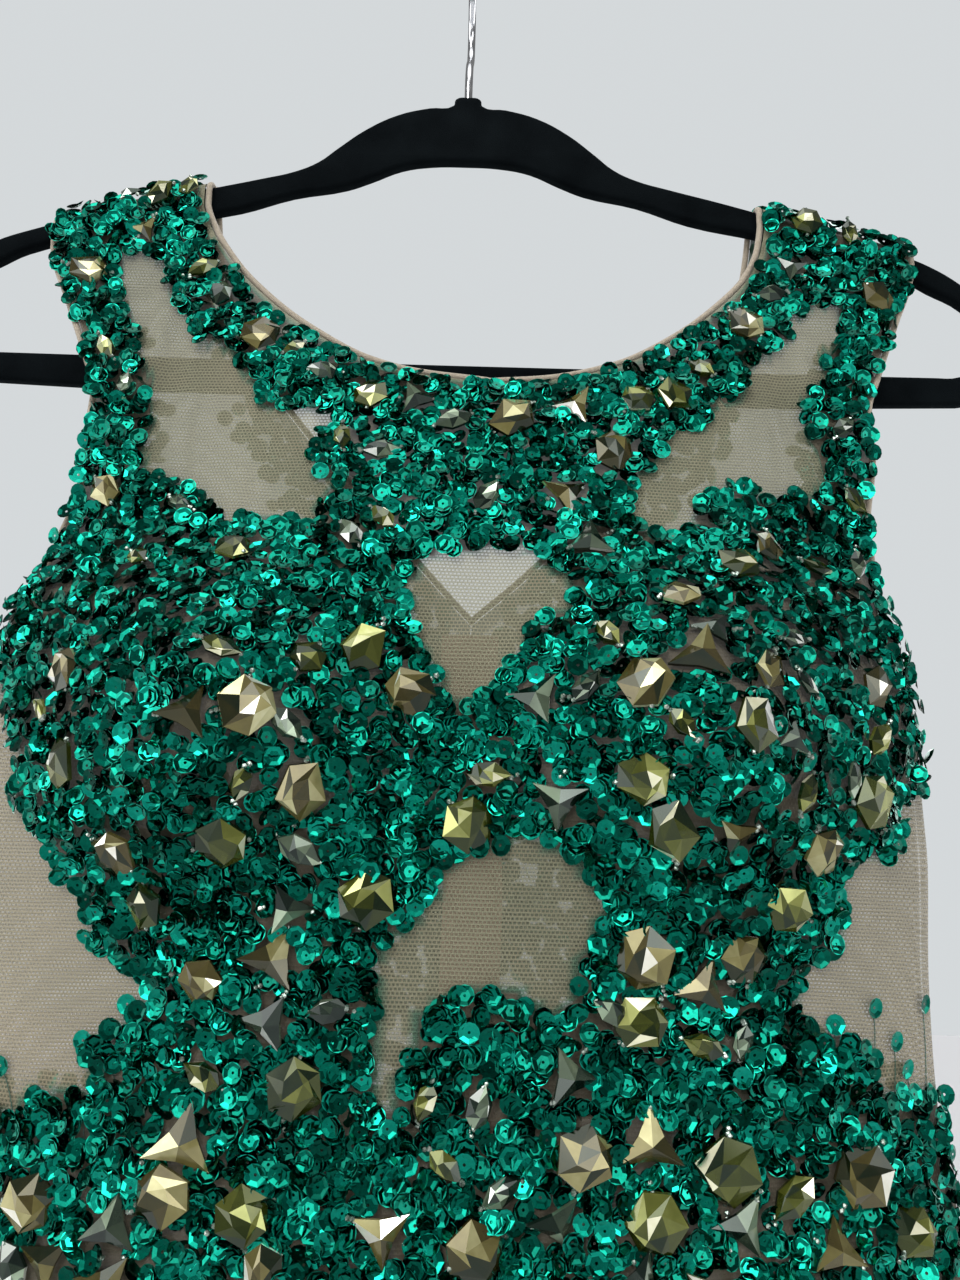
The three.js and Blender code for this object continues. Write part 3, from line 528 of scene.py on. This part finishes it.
net = bpy.data.node_groups.new("net_threads", "ShaderNodeTree")
for name, value in (("Cell width", 0.0014), ("Cell height", 0.00135), ("Softness", 0.10)):
    socket = net.interface.new_socket(name=name, in_out="INPUT", socket_type="NodeSocketFloat")
    socket.default_value = value
net.interface.new_socket(name="Place", in_out="INPUT", socket_type="NodeSocketVector")
net.interface.new_socket(name="Thread", in_out="OUTPUT", socket_type="NodeSocketFloat")
inputs, outputs = net.nodes.new("NodeGroupInput"), net.nodes.new("NodeGroupOutput")
split_place = net.nodes.new("ShaderNodeSeparateXYZ")
net.links.new(inputs.outputs["Place"], split_place.inputs[0])
row = sums(net, "DIVIDE", split_place.outputs["Y"], inputs.outputs["Cell height"])
odd = sums(net, "MULTIPLY", sums(net, "FLOOR", row), 0.5)
along = sums(net, "ADD", sums(net, "DIVIDE", split_place.outputs["X"], inputs.outputs["Cell width"]), odd)
weft, warp = [sums(net, "ABSOLUTE", sums(net, "COSINE", sums(net, "MULTIPLY", cell, math.pi)))
              for cell in (row, along)]
thread = sums(net, "MAXIMUM", sums(net, "POWER", weft, 3.0), sums(net, "POWER", warp, 6.0))
spread = sums(net, "ADD", sums(net, "MULTIPLY", thread, sums(net, "SUBTRACT", 1, inputs.outputs["Softness"])),
              inputs.outputs["Softness"])
net.links.new(spread, outputs.inputs["Thread"])


def mask_named(tree, name):
    """The values of one of the mesh's own attributes."""
    mask = tree.nodes.new("ShaderNodeAttribute")
    mask.attribute_name = name
    return mask.outputs["Fac"]


tulle, tree, shader = material_named("nude_tulle")
cloth_place = tree.nodes.new("ShaderNodeUVMap")
cloth_place.uv_map = "Cloth"
mesh_of_threads = tree.nodes.new("ShaderNodeGroup")
mesh_of_threads.node_tree = net
tree.links.new(cloth_place.outputs["UV"], mesh_of_threads.inputs["Place"])
threads = mesh_of_threads.outputs["Thread"]
beaded = mask_named(tree, "beaded")
nude = shades(tree, grain(tree, 18, 3), (0.3, (0.248, 0.220, 0.145)), (0.7, (0.308, 0.268, 0.180)))
# under the beads the net shows its green threads and the sequins' backs, darkened by painted shade between
# the sequins; the lowest stop carries the painted green bounce
threads_and_painted_shade = shades(tree, beaded, (0.15, (0.07, 0.18, 0.125)), (0.55, (0.02, 0.15, 0.10)),
                  (0.9, (0.10, 0.085, 0.062)))
tint = tree.nodes.new("ShaderNodeMix")
tint.data_type = "RGBA"
patchy = sums(tree, "ADD", 0.9, sums(tree, "MULTIPLY", grain(tree, 160, 2), 0.6))
tree.links.new(sums(tree, "MINIMUM", sums(tree, "MULTIPLY", beaded, patchy), 0.92), tint.inputs[0])
tree.links.new(nude, tint.inputs[6])
tree.links.new(threads_and_painted_shade, tint.inputs[7])
tree.links.new(tint.outputs[2], shader.inputs["Base Color"])
tuned(shader, {"Roughness": 0.75, "Specular IOR Level": 0.25, "Sheen Weight": 0.3, "Sheen Roughness": 0.4,
               "Sheen Tint": (0.95, 0.86, 0.76, 1)})
sheer = sums(tree, "ADD", 0.30, sums(tree, "MULTIPLY", threads, 0.56))
doubled = sums(tree, "MAXIMUM", sums(tree, "MULTIPLY", beaded, 0.93),
               sums(tree, "MULTIPLY", mask_named(tree, "turned"), 0.92))
tree.links.new(sums(tree, "MAXIMUM", sheer, doubled), shader.inputs["Alpha"])
raised(tree, shader, threads, 0.0003, 0.5)

front = panel("front_tulle", -1, (-1, 1), 36, 110)
back_left = panel("back_left_tulle", 1, (-1,), 30, 80)
back_right = panel("back_right_tulle", 1, (1,), 30, 80)
for sheet, node in ((front, "front"), (back_left, "back_left"), (back_right, "back_right")):
    sheet.data.materials.append(tulle)
    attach(sheet, "gown")
    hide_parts(node)

# Rolled edges: the tulle's cut edge at the scoop, the V and the armholes is rolled in a narrow nude
# binding, 2.7 mm thick.
edging, tree, shader = material_named("rolled_nude_edge")
mottled(tree, shader.inputs["Base Color"], 900, 2, (0.3, (0.31, 0.262, 0.195)), (0.7, (0.40, 0.34, 0.26)))
tuned(shader, {"Roughness": 0.8, "Sheen Weight": 0.3})
raised(tree, shader, grain(tree, 1500, 2), 0.0002, 0.6)


def rolled_edge(name, places, closed, node):
    """A soft round binding through places in millimetres."""
    roll = empty_curve(name, "3D")
    run_line(roll, "POLY", places, closed)
    roll.data.bevel_depth = 0.00135
    roll.data.bevel_resolution = 2
    roll.data.use_fill_caps = not closed
    bpy.ops.object.convert(target="MESH")
    bpy.ops.object.shade_smooth()
    roll.data.materials.append(edging)
    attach(roll, "gown")
    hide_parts(node)
    return roll


def beside_edge(side, a, g, outward):
    """Places just outside the cloth's border, on the same face."""
    x = shift(g) + a
    place, normal = cloth_at(side, x, g), cloth_normal(side, x, g)
    out = np.cross(np.gradient(place, axis=0), normal)
    out /= np.maximum(np.linalg.norm(out, axis=1, keepdims=True), 1e-9)
    out *= np.sign(out @ np.array(outward, float))[:, None]
    return place - normal * 0.8 + out * 1.6


halves = {}
for side in (-1, 1):
    neckline = NECKLINES[side]
    for sign in (-1, 1):
        top = arc_foot(STRAP_SHIFT + sign * neckline["half"][0]) + STRAP_ARC - 0.3
        a, g = neck_line(side, sign, np.linspace(top, neckline["split"], 34))
        halves[side, sign] = beside_edge(side, a, g, (-sign, 0, 0.6))
binding = [
    rolled_edge("neck_edge_front", np.r_[halves[-1, -1][:-1], halves[-1, 1][::-1]], False,
                "neck_binding_front"),
    rolled_edge("neck_edge_back_left", halves[1, -1], False, "neck_binding_back_left"),
    rolled_edge("neck_edge_back_right", halves[1, 1], False, "neck_binding_back_right")]
for sign, hand in ((-1, "left"), (1, "right")):
    g = np.linspace(arc_foot(STRAP_SHIFT + sign * half(SHOULDER)) + STRAP_ARC - 0.3, ARMPIT + 4, 44)
    a = sign * half(np.minimum(g, SHOULDER))
    armpit = np.array([[shift(ARMPIT) + sign * (half(ARMPIT) + 0.5), 0, ARMPIT + 2.0]])
    loop = np.concatenate([beside_edge(-1, a, g, (sign, 0, 0.4)), armpit,
                           beside_edge(1, a, g, (sign, 0, 0.4))[::-1]])
    binding.append(rolled_edge(f"armhole_edge_{hand}", loop, True, f"armhole_binding_{hand}"))

# Zip: a peach woven tape lies inside the centre-back seam, 24 mm wide; the slider sits over the seam's
# top and its drop-shaped pull hangs from a pin.
ZIP = dict(top=-305, foot=-630, half_width=12, inside=2.1, ridge=0.5)
bpy.ops.object.select_all(action="DESELECT")
bpy.ops.mesh.primitive_grid_add(x_subdivisions=8, y_subdivisions=90, size=1)
tape = bpy.context.object
tape.name = "zip_tape_woven"
u, v = np.meshgrid(np.linspace(-1, 1, 9), np.linspace(ZIP["foot"], ZIP["top"], 91))
places = cloth_at(1, shift(v) + lean[1](v) + ZIP["half_width"] * u, v)
places[..., 1] -= ZIP["inside"] + ZIP["ridge"] * np.exp(-(u / 0.18) ** 2)
tape.data.vertices.foreach_set("co", (places / 1000).ravel())
bpy.ops.object.modifier_add(type="SOLIDIFY")
tape.modifiers[-1].thickness = 0.0007
tape.modifiers[-1].offset = 0
bpy.ops.object.modifier_apply(modifier=tape.modifiers[-1].name)
bpy.ops.object.shade_smooth_by_angle(angle=math.radians(50))
woven, tree, shader = material_named("peach_tape")
place = tree.nodes.new("ShaderNodeTexCoord")
ribs = []
for direction, scale in (("X", 340), ("Z", 420)):
    rib = tree.nodes.new("ShaderNodeTexWave")
    rib.bands_direction = direction
    tuned(rib, {"Scale": scale, "Distortion": 0.6})
    tree.links.new(place.outputs["Object"], rib.inputs["Vector"])
    ribs.append(rib.outputs["Fac"])
weave = sums(tree, "MULTIPLY", *ribs)
tree.links.new(shades(tree, weave, (0.0, (0.54, 0.32, 0.23)), (1.0, (0.77, 0.51, 0.39))),
               shader.inputs["Base Color"])
tuned(shader, {"Roughness": 0.75})
raised(tree, shader, weave, 0.0003, 0.6)
tape.data.materials.append(woven)
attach(tape, "gown")
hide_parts("zip_tape")

enamel, tree, shader = material_named("satin_nude_enamel")
mottled(tree, shader.inputs["Base Color"], 700, 4, (0.35, (0.46, 0.33, 0.25)), (0.72, (0.60, 0.45, 0.35)))
mottled(tree, shader.inputs["Roughness"], 260, 3, (0.3, (0.28,) * 3), (0.7, (0.45,) * 3))
tuned(shader, {"Metallic": 0.55})
raised(tree, shader, grain(tree, 1800, 2), 0.00004, 0.4)
for name in ("zip_slider", "zip_pull"):
    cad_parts[name].data.materials.clear()
    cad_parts[name].data.materials.append(enamel)

# Sequins: cupped emerald discs, 6 to 7.5 mm across, pressed with a six-sided flat and a small hole, and
# sewn on thickly enough to overlap and tip every way.
rng = np.random.default_rng(11)
HOLE, FLAT, RIM, CUPPED = 0.5, 2.0, 3.4, 0.62  # radii and depth of the cup
ROW_PITCH, JITTER = 0.87, 0.55  # of the spacing


def ring(radius, count, z, start=0):
    turn = (np.arange(count) + start) * 2 * math.pi / count
    return np.stack([radius * np.cos(turn), radius * np.sin(turn), np.full(count, z)], -1)


cup = (np.concatenate([ring(HOLE, 6, 0), ring(FLAT, 6, 0), ring(RIM, 12, CUPPED)]),
       [(k, 6 + k, 6 + (k + 1) % 6, (k + 1) % 6) for k in range(6)]
       + [(6 + k, 12 + 2 * k, 12 + 2 * k + 1, 12 + (2 * k + 2) % 12, 6 + (k + 1) % 6) for k in range(6)])
plain_cup = (np.concatenate([ring(FLAT, 6, 0), ring(RIM, 12, CUPPED)]),
             [(0, 1, 2, 3, 4, 5)]
             + [(k, 6 + 2 * k, 6 + 2 * k + 1, 6 + (2 * k + 2) % 12, (k + 1) % 6) for k in range(6)])

metal, tree, shader = material_named("emerald_sequin")
speck = sums(tree, "MULTIPLY", grain(tree, 900, 2), 0.3)
value = sums(tree, "ADD", sums(tree, "MULTIPLY", mask_named(tree, "tint"), 0.85), speck)
tree.links.new(shades(tree, value, (0.1, (0.0, 0.036, 0.023)), (0.5, (0.0, 0.135, 0.089)),
                      (1.0, (0.006, 0.38, 0.27))), shader.inputs["Base Color"])
tuned(shader, {"Metallic": 1.0, "Roughness": 0.17, "Coat Weight": 0.06, "Coat Roughness": 0.06})


def turned_axes(normals, turns):
    """Two directions across each normal, turned about it."""
    side = np.cross(np.array([0.0, 0.13, 1.0]), normals)
    side /= np.linalg.norm(side, axis=1, keepdims=True)
    up = np.cross(normals, side)
    c, s = np.cos(turns)[:, None], np.sin(turns)[:, None]
    return side * c + up * s, up * c - side * s


def sewn_on(name, shape, centres, normals, turns, sizes, tints, finish):
    """One mesh of many copies of a shape, with one tint for each copy or for each of its faces."""
    corners, faces = shape
    count, each = len(centres), len(corners)
    side, up = turned_axes(normals, turns)
    local = corners * sizes[:, None, None]
    points = (centres[:, None] + local[..., :1] * side[:, None] + local[..., 1:2] * up[:, None]
              + local[..., 2:] * normals[:, None]) / 1000
    lengths = np.array([len(f) for f in faces])
    loop = np.array([k for f in faces for k in f])
    loops = (loop + each * np.arange(count)[:, None]).ravel()
    mesh = bpy.data.meshes.new(name)
    mesh.vertices.add(count * each)
    mesh.vertices.foreach_set("co", points.ravel())
    mesh.loops.add(len(loops))
    mesh.loops.foreach_set("vertex_index", loops)
    mesh.polygons.add(count * len(faces))
    mesh.polygons.foreach_set("loop_start", np.r_[0, np.cumsum(np.tile(lengths, count))[:-1]])
    cells = math.ceil(math.sqrt(count))
    flat = 0.5 + 0.42 * corners[:, :2] / np.abs(corners[:, :2]).max()
    cell = np.stack([np.arange(count) % cells, np.arange(count) // cells], -1)
    places = (cell[:, None] + flat[loop]) / cells
    mesh.uv_layers.new(name="OFBake").uv.foreach_set("vector", places.ravel())
    domain, values = ("POINT", np.repeat(tints, each)) if tints.ndim == 1 else ("FACE", tints.ravel())
    mesh.attributes.new("tint", "FLOAT", domain).data.foreach_set("value", values)
    mesh.update(calc_edges=True)
    mesh.validate()
    mesh.shade_flat()
    mesh.materials.append(finish)
    piece = bpy.data.objects.new(name, mesh)
    scene.collection.objects.link(piece)
    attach(piece, "gown")
    return piece


def scattered(side, a_range, g_range, spacing):
    """Places on the beaded cloth, one in each cell of a jittered grid, as arrays a and g."""
    a, g = np.meshgrid(np.arange(*a_range, spacing), np.arange(*g_range, spacing * ROW_PITCH))
    a = a + spacing / 2 * (np.arange(a.shape[0]) % 2)[:, None]
    a = a.ravel() + rng.uniform(-JITTER, JITTER, a.size) * spacing
    g = g.ravel() + rng.uniform(-JITTER, JITTER, a.size) * spacing
    margin = np.interp(np.abs(a - 4), [0, 42, 58, 100, 112], [0.8, 0.8, 3.0, 3.2, 0.6]) if side < 0 else 1.5
    keep = half(np.minimum(g, SHOULDER)) - np.abs(a) > np.where(g > ARMPIT + 25, -0.8, 2)
    keep &= g < arc_foot(STRAP_SHIFT + a) + STRAP_ARC - 0.7
    keep &= neck_room(side, a, g) > margin
    if side > 0:  # clear of the zip and its slider
        keep &= np.abs(a - lean[side](g)) > np.where(g > -352, 10, 3.6)
    keep &= rng.uniform(0, 1, a.size) < bead_share(side, a, g) ** 1.4
    return a[keep], g[keep]


def place_on(side, a, g, lift):
    x = shift(g) + a
    normal = cloth_normal(side, x, g)
    return cloth_at(side, x, g) + normal * np.reshape(lift, (-1, 1)), normal


def tipped(normals, spread):
    tip = normals + rng.normal(0, spread, normals.shape)
    return tip / np.linalg.norm(tip, axis=1, keepdims=True)


# Stones: foiled glass in champagne, olive and smoke, 10 to 22 mm long, in four cuts: hexagon, kite,
# three-pointed and drop. The table gives each stone's place on the front and its length.
STONES = dict(
    kite=[(-165, -161, 17), (-139, -123, 14), (-141, -262, 15), (-128, -368, 18), (12, -232, 20),
        (76, -217, 16), (165, -164, 16), (-30, -329, 19), (-48, -375, 20), (-98, -414, 16), (103, -334, 15),
        (95, -352, 19), (149, -334, 16), (71, -384, 20), (112, -282, 14)],
    hexagon=[(-127, -119, 10), (-89, -193, 17), (-79, -293, 14), (-132, -337, 16), (-43, -222, 15),
        (51, -245, 17), (61, -220, 14), (108, -181, 17), (138, -128, 14), (-15, -343, 18), (-48, -334, 13),
        (-65, -351, 20), (-72, -392, 18), (-109, -397, 17), (-26, -410, 20), (-78, -437, 15),
        (-45, -468, 20), (-84, -501, 19), (-58, -505, 18), (-127, -506, 18), (6, -385, 19), (63, -340, 19),
        (143, -373, 20), (123, -390, 17), (112, -409, 17), (97, -425, 17), (62, -369, 18), (65, -426, 21),
        (100, -292, 17), (78, -308, 14), (64, -446, 18), (46, -486, 20), (91, -490, 22), (136, -493, 21),
        (68, -504, 20), (13, -512, 19), (153, -510, 17)],
    three=[(-153, -122, 12), (-143, -140, 12), (-25, -224, 15), (37, -225, 16), (130, -151, 13),
        (35, -265, 17), (46, -285, 17), (-82, -354, 18), (-51, -413, 16), (-55, -429, 20), (-55, -449, 18),
        (-80, -486, 22), (-99, -510, 18), (-119, -521, 16), (29, -344, 18), (81, -331, 20), (87, -321, 14),
        (91, -385, 14), (36, -377, 18), (84, -435, 18), (41, -463, 18), (67, -482, 20), (95, -505, 18),
        (-16, -508, 18), (37, -504, 17), (126, -513, 17), (109, -356, 13)],
    drop=[(-116, -160, 14), (-108, -173, 16), (-75, -200, 10), (-62, -211, 13), (-152, -199, 12),
        (-142, -215, 10), (-114, -295, 13), (-108, -270, 12), (-141, -350, 11), (-10, -234, 15),
        (88, -204, 12), (120, -165, 13), (156, -133, 12), (143, -227, 13), (148, -257, 14), (-36, -248, 14),
        (-52, -242, 12), (6, -267, 15), (-30, -277, 12), (-40, -284, 13), (-74, -333, 14), (-53, -356, 14),
        (-66, -374, 12), (-48, -394, 16), (-75, -466, 14), (-36, -445, 14), (13, -369, 15), (45, -341, 14),
        (73, -353, 12), (117, -337, 12), (147, -352, 15), (134, -367, 12), (84, -453, 14), (116, -321, 13),
        (132, -288, 14), (150, -283, 12), (53, -323, 13), (54, -443, 14), (112, -498, 18), (20, -496, 14),
        (3, -489, 13), (13, -472, 14), (-4, -471, 12), (97, -452, 12), (114, -372, 14)])
OUTLINES = dict(  # points round each cut, for a stone one unit long
    kite=[(-0.05, 0.54), (-0.42, 0.16), (-0.17, -0.46), (0.27, -0.36), (0.40, 0.20)],
    hexagon=[(-0.10, 0.47), (-0.48, 0.10), (-0.32, -0.40), (0.08, -0.50), (0.48, -0.10), (0.35, 0.32)],
    three=[(0, 0.57), (-0.2, 0.11), (-0.5, -0.3), (0, -0.24), (0.5, -0.3), (0.2, 0.11)],
    drop=[(0, 0.52), (-0.27, 0.14), (-0.24, -0.27), (0, -0.5), (0.24, -0.27), (0.27, 0.14)])


def cut_stone(outline, girdle, high, star=True):
    """A flat-backed stone: a wide crown facet to each side, and a small star or a plain peak."""
    rim = np.array(outline, float)
    n = len(rim)
    rings = [np.c_[rim, np.zeros(n)], np.c_[rim, np.full(n, girdle)]]
    peak = (0, -0.02, high)
    if star:
        off = np.array([0.07, 0.06])
        inner = rim * np.where(np.arange(n) % 2, 0.46, 0.60)[:, None] + off
        rings.append(np.c_[inner, np.full(n, high)])
        peak = (*(off * 2.3), high * 1.06)
    top = n * (len(rings) - 1)
    faces = []
    for i in range(n):
        j = (i + 1) % n
        faces.append((i, j, n + j, n + i))
        if star:
            faces += [(n + i, n + j, 2 * n + j), (n + i, 2 * n + j, 2 * n + i)]
        faces.append((top + i, top + j, top + n))
    return np.concatenate([*rings, [peak]]), faces


CUTS = {kind: cut_stone(outline, 0.08, 0.2) for kind, outline in OUTLINES.items()}
CUTS["three"] = cut_stone(OUTLINES["three"], 0.07, 0.24, star=False)
# painted light for the stones' facets: random tone per facet and per stone, a painted lit side, and a share
# of painted glints
FACET_LIGHT = dict(mean=0.30, lit_side=0.20, facet=0.20, stone=0.08, flashing=0.06)


def paint_facet_light(shape, count):
    """Painted light on each facet of each stone: lighter to one painted lit side, random in tone, and a few
    facets painted as glints.
    """
    corners, faces = shape
    middles = np.array([corners[list(face), :2].mean(0) for face in faces])
    angle = np.arctan2(middles[:, 1], middles[:, 0])
    lit = rng.uniform(0, 2 * math.pi, (count, 1))
    value = FACET_LIGHT["mean"] + FACET_LIGHT["lit_side"] * np.cos(angle - lit)
    value = value + rng.normal(0, FACET_LIGHT["facet"], (count, len(faces)))
    value += rng.normal(0, FACET_LIGHT["stone"], (count, 1))
    value[rng.uniform(0, 1, value.shape) < FACET_LIGHT["flashing"]] = 0.97
    return np.clip(value, 0.02, 1)


glass = {}
# each finish's stops turn the painted facet light into colour, from painted shade up to a near-white painted
# glint
for kind, stops in dict(
        champagne=((0.0, (0.007, 0.016, 0.005)), (0.3, (0.070, 0.056, 0.014)), (0.55, (0.21, 0.185, 0.060)),
                   (0.8, (0.58, 0.56, 0.30)), (1.0, (1.0, 0.99, 0.90))),
        olive=((0.0, (0.004, 0.016, 0.004)), (0.3, (0.042, 0.055, 0.005)), (0.55, (0.135, 0.150, 0.026)),
               (0.8, (0.45, 0.48, 0.15)), (1.0, (1.0, 0.98, 0.72))),
        smoke=((0.0, (0.003, 0.012, 0.008)), (0.3, (0.026, 0.045, 0.030)), (0.55, (0.11, 0.15, 0.095)),
               (0.8, (0.40, 0.52, 0.36)), (1.0, (0.96, 1.0, 0.94)))).items():
    foil, tree, shader = material_named(f"foiled_glass_{kind}")
    clouds = sums(tree, "MULTIPLY", grain(tree, 220, 2), 0.16)
    value = sums(tree, "ADD", sums(tree, "SUBTRACT", mask_named(tree, "tint"), 0.08), clouds)
    tree.links.new(shades(tree, value, *stops), shader.inputs["Base Color"])
    tuned(shader, {"Metallic": 0.5, "Roughness": 0.14, "Coat Weight": 0.5, "Coat Roughness": 0.02})
    glass[kind] = foil
FINISH = dict(  # of every other stone of each cut, and of the rest
    kite=("champagne", "olive"), hexagon=("olive", "champagne"), three=("smoke", "champagne"),
    drop=("olive", "smoke"))

# Stones elsewhere follow the same mix: skirt front, then the back, thinning towards the hem.
more = {}
for side, top in ((-1, -528), (1, -320)):
    a, g = np.meshgrid(np.arange(-300, 301, 30.0), np.arange(top, -1200, -27.0))
    a, g = a.ravel() + rng.uniform(-11, 11, a.size), g.ravel() + rng.uniform(-10, 10, a.size)
    keep = (np.abs(a) < half(g) - 16) & (rng.uniform(0, 1, a.size) < bead_share(side, a, g) ** 1.6)
    keep &= np.abs(a - lean[side](g)) > (0 if side < 0 else 14)
    more[side] = list(zip(a[keep], g[keep], rng.uniform(12, 21, keep.sum())))

stones, spots = [], {-1: [], 1: []}
kinds = list(OUTLINES)
for side, where in ((-1, "front"), (1, "back")):
    groups = {kind: list(STONES[kind]) if side < 0 else [] for kind in kinds}
    for k, stone in enumerate(more[side]):
        groups[kinds[(k * 7 + k // 4) % 4]].append(stone)
    for kind in kinds:
        a, g, size = np.array(groups[kind]).T
        centres, normals = place_on(side, a, g, 2.4)
        normals = tipped(normals, 0.13)
        turns = rng.uniform(0, 2 * math.pi, len(a))
        tips = turned_axes(normals, turns)[1] * size[:, None] * 0.52
        spots[side] += list(zip(a, g, size, centres, normals, tips))
        # the facets' painted light and shade, carried as the stones' tint
        facet_light = paint_facet_light(CUTS[kind], len(a))
        for first, finish in enumerate(FINISH[kind]):
            some = slice(first, None, 2)
            piece = sewn_on(f"stones_{kind}_{where}_{first + 1}", CUTS[kind], centres[some], normals[some],
                            turns[some], size[some], facet_light[some], glass[finish])
            stones.append(piece)

# Seed beads: clear glass, up to 2 mm across. One to three of them at each end of a stone hold its
# thread.
ball = (np.concatenate([[(0, 0, 1)], ring(0.894, 5, 0.447), ring(0.894, 5, -0.447, 0.5), [(0, 0, -1)]]),
        [(0, 1 + k, 1 + (k + 1) % 5) for k in range(5)] + [(1 + k, 6 + k, 1 + (k + 1) % 5) for k in range(5)]
        + [(1 + (k + 1) % 5, 6 + k, 6 + (k + 1) % 5) for k in range(5)]
        + [(11, 6 + (k + 1) % 5, 6 + k) for k in range(5)])
clear, tree, shader = material_named("clear_bead")
mottled(tree, shader.inputs["Base Color"], 500, 2, (0.35, (0.10, 0.16, 0.12)), (0.65, (0.42, 0.48, 0.42)))
tuned(shader, {"Metallic": 0.6, "Roughness": 0.08, "Coat Weight": 1.0})
for side, where in ((-1, "front"), (1, "back")):
    places, faces = [], []
    for _, _, _, centre, normal, tip in spots[side]:
        for end in (1, -1):
            for k in range(rng.integers(1, 4)):
                places.append(centre + tip * end * (0.9 + 0.14 * k) + normal * 0.6 + rng.normal(0, 0.5, 3))
                faces.append(normal)
    count = len(places)
    piece = sewn_on(f"seed_beads_{where}", ball, np.array(places), np.array(faces), np.zeros(count),
                    rng.uniform(0.75, 1.05, count), np.zeros(count), clear)

# The sequins go round the stones: closest on the bodice, thinning down the skirt. Most lie a little
# tipped, and a few stand on edge.
STONE_ROOM, TIP, EDGE_TIP, ON_EDGE = 0.40, 0.29, 0.9, 0.09  # room as a share of each stone's length
for name, shape, side, a_range, g_range, spacing in [
    ("sequins_bodice_left", cup, -1, (-200, 0), (-520, -90), 4.1),
    ("sequins_bodice_right", cup, -1, (0, 200), (-520, -90), 4.1),
    ("sequins_skirt_front", plain_cup, -1, (-330, 330), (-1250, -520), 6.4),
    ("sequins_back_upper", plain_cup, 1, (-200, 200), (-470, -90), 4.7),
    ("sequins_back_skirt", plain_cup, 1, (-330, 330), (-1250, -470), 5.9),
]:
    a, g = scattered(side, a_range, g_range, spacing)
    table = np.array([row[:3] for row in spots[side]])
    near = np.hypot(a[:, None] - table[:, 0], g[:, None] - table[:, 1]) / table[:, 2]
    keep = near.min(1) > STONE_ROOM
    a, g = a[keep], g[keep]
    centres, normals = place_on(side, a, g, rng.uniform(0.8, 3.2, len(a)))
    normals = tipped(normals, TIP)
    on_edge = rng.uniform(0, 1, len(a)) < ON_EDGE
    normals[on_edge] = tipped(normals[on_edge], EDGE_TIP)
    sizes = rng.uniform(0.88, 1.1, len(a))
    tints = rng.beta(1.3, 1.9, len(a))
    piece = sewn_on(name, shape, centres, normals, rng.uniform(0, 6.28, len(a)), sizes, tints, metal)

# Loose sequins: they stand out from the beading's edge at both sides, each on a dark green thread that
# runs over the net.
LOOSE = dict(  # each thread: the sequin at its end, then where it leaves the beading
    a=[-96, -82, -103, -111, -117, -94, -132, -118, -146, 119, 130, 118, 145, 144, 128, 153, 167, 157, 106],
    g=[-441, -443, -446, -459, -458, -458, -476, -475, -468, -447, -447, -457, -442, -458, -465, -453, -442,
       -462, -455],
    from_a=[-91, -79, -97, -103, -111, -89, -127, -113, -139, 113, 129, 117, 144, 145, 125, 151, 166, 159,
            102],
    from_g=[-456, -454, -462, -474, -476, -470, -486, -488, -484, -462, -466, -470, -462, -474, -478, -474,
            -470, -478, -466])
a, g = np.array(LOOSE["a"], float), np.array(LOOSE["g"], float)
centres, normals = place_on(-1, a, g, 1.0)
loose = sewn_on("sequins_loose", cup, centres, tipped(normals, 0.12), rng.uniform(0, 6.28, len(a)),
                np.ones(len(a)), rng.uniform(0.4, 0.8, len(a)), metal)

run = empty_curve("loose_threads", "3D")
for a0, g0, a1, g1 in zip(*LOOSE.values()):
    f = np.linspace(0, 1, 9)
    a, g = a0 + (a1 - a0) * f + 0.8 * np.sin(3 * f), g0 + (g1 - g0) * f
    run_line(run, "POLY", place_on(-1, a, g, 0.35)[0], False)
run.data.bevel_depth = 0.00016
run.data.bevel_resolution = 1
bpy.ops.object.convert(target="MESH")
cotton, tree, shader = material_named("green_thread")
mottled(tree, shader.inputs["Base Color"], 1500, 1, (0.3, (0.02, 0.06, 0.045)), (0.7, (0.05, 0.14, 0.10)))
tuned(shader, {"Roughness": 0.6})
run.data.materials.append(cotton)
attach(run, "gown")
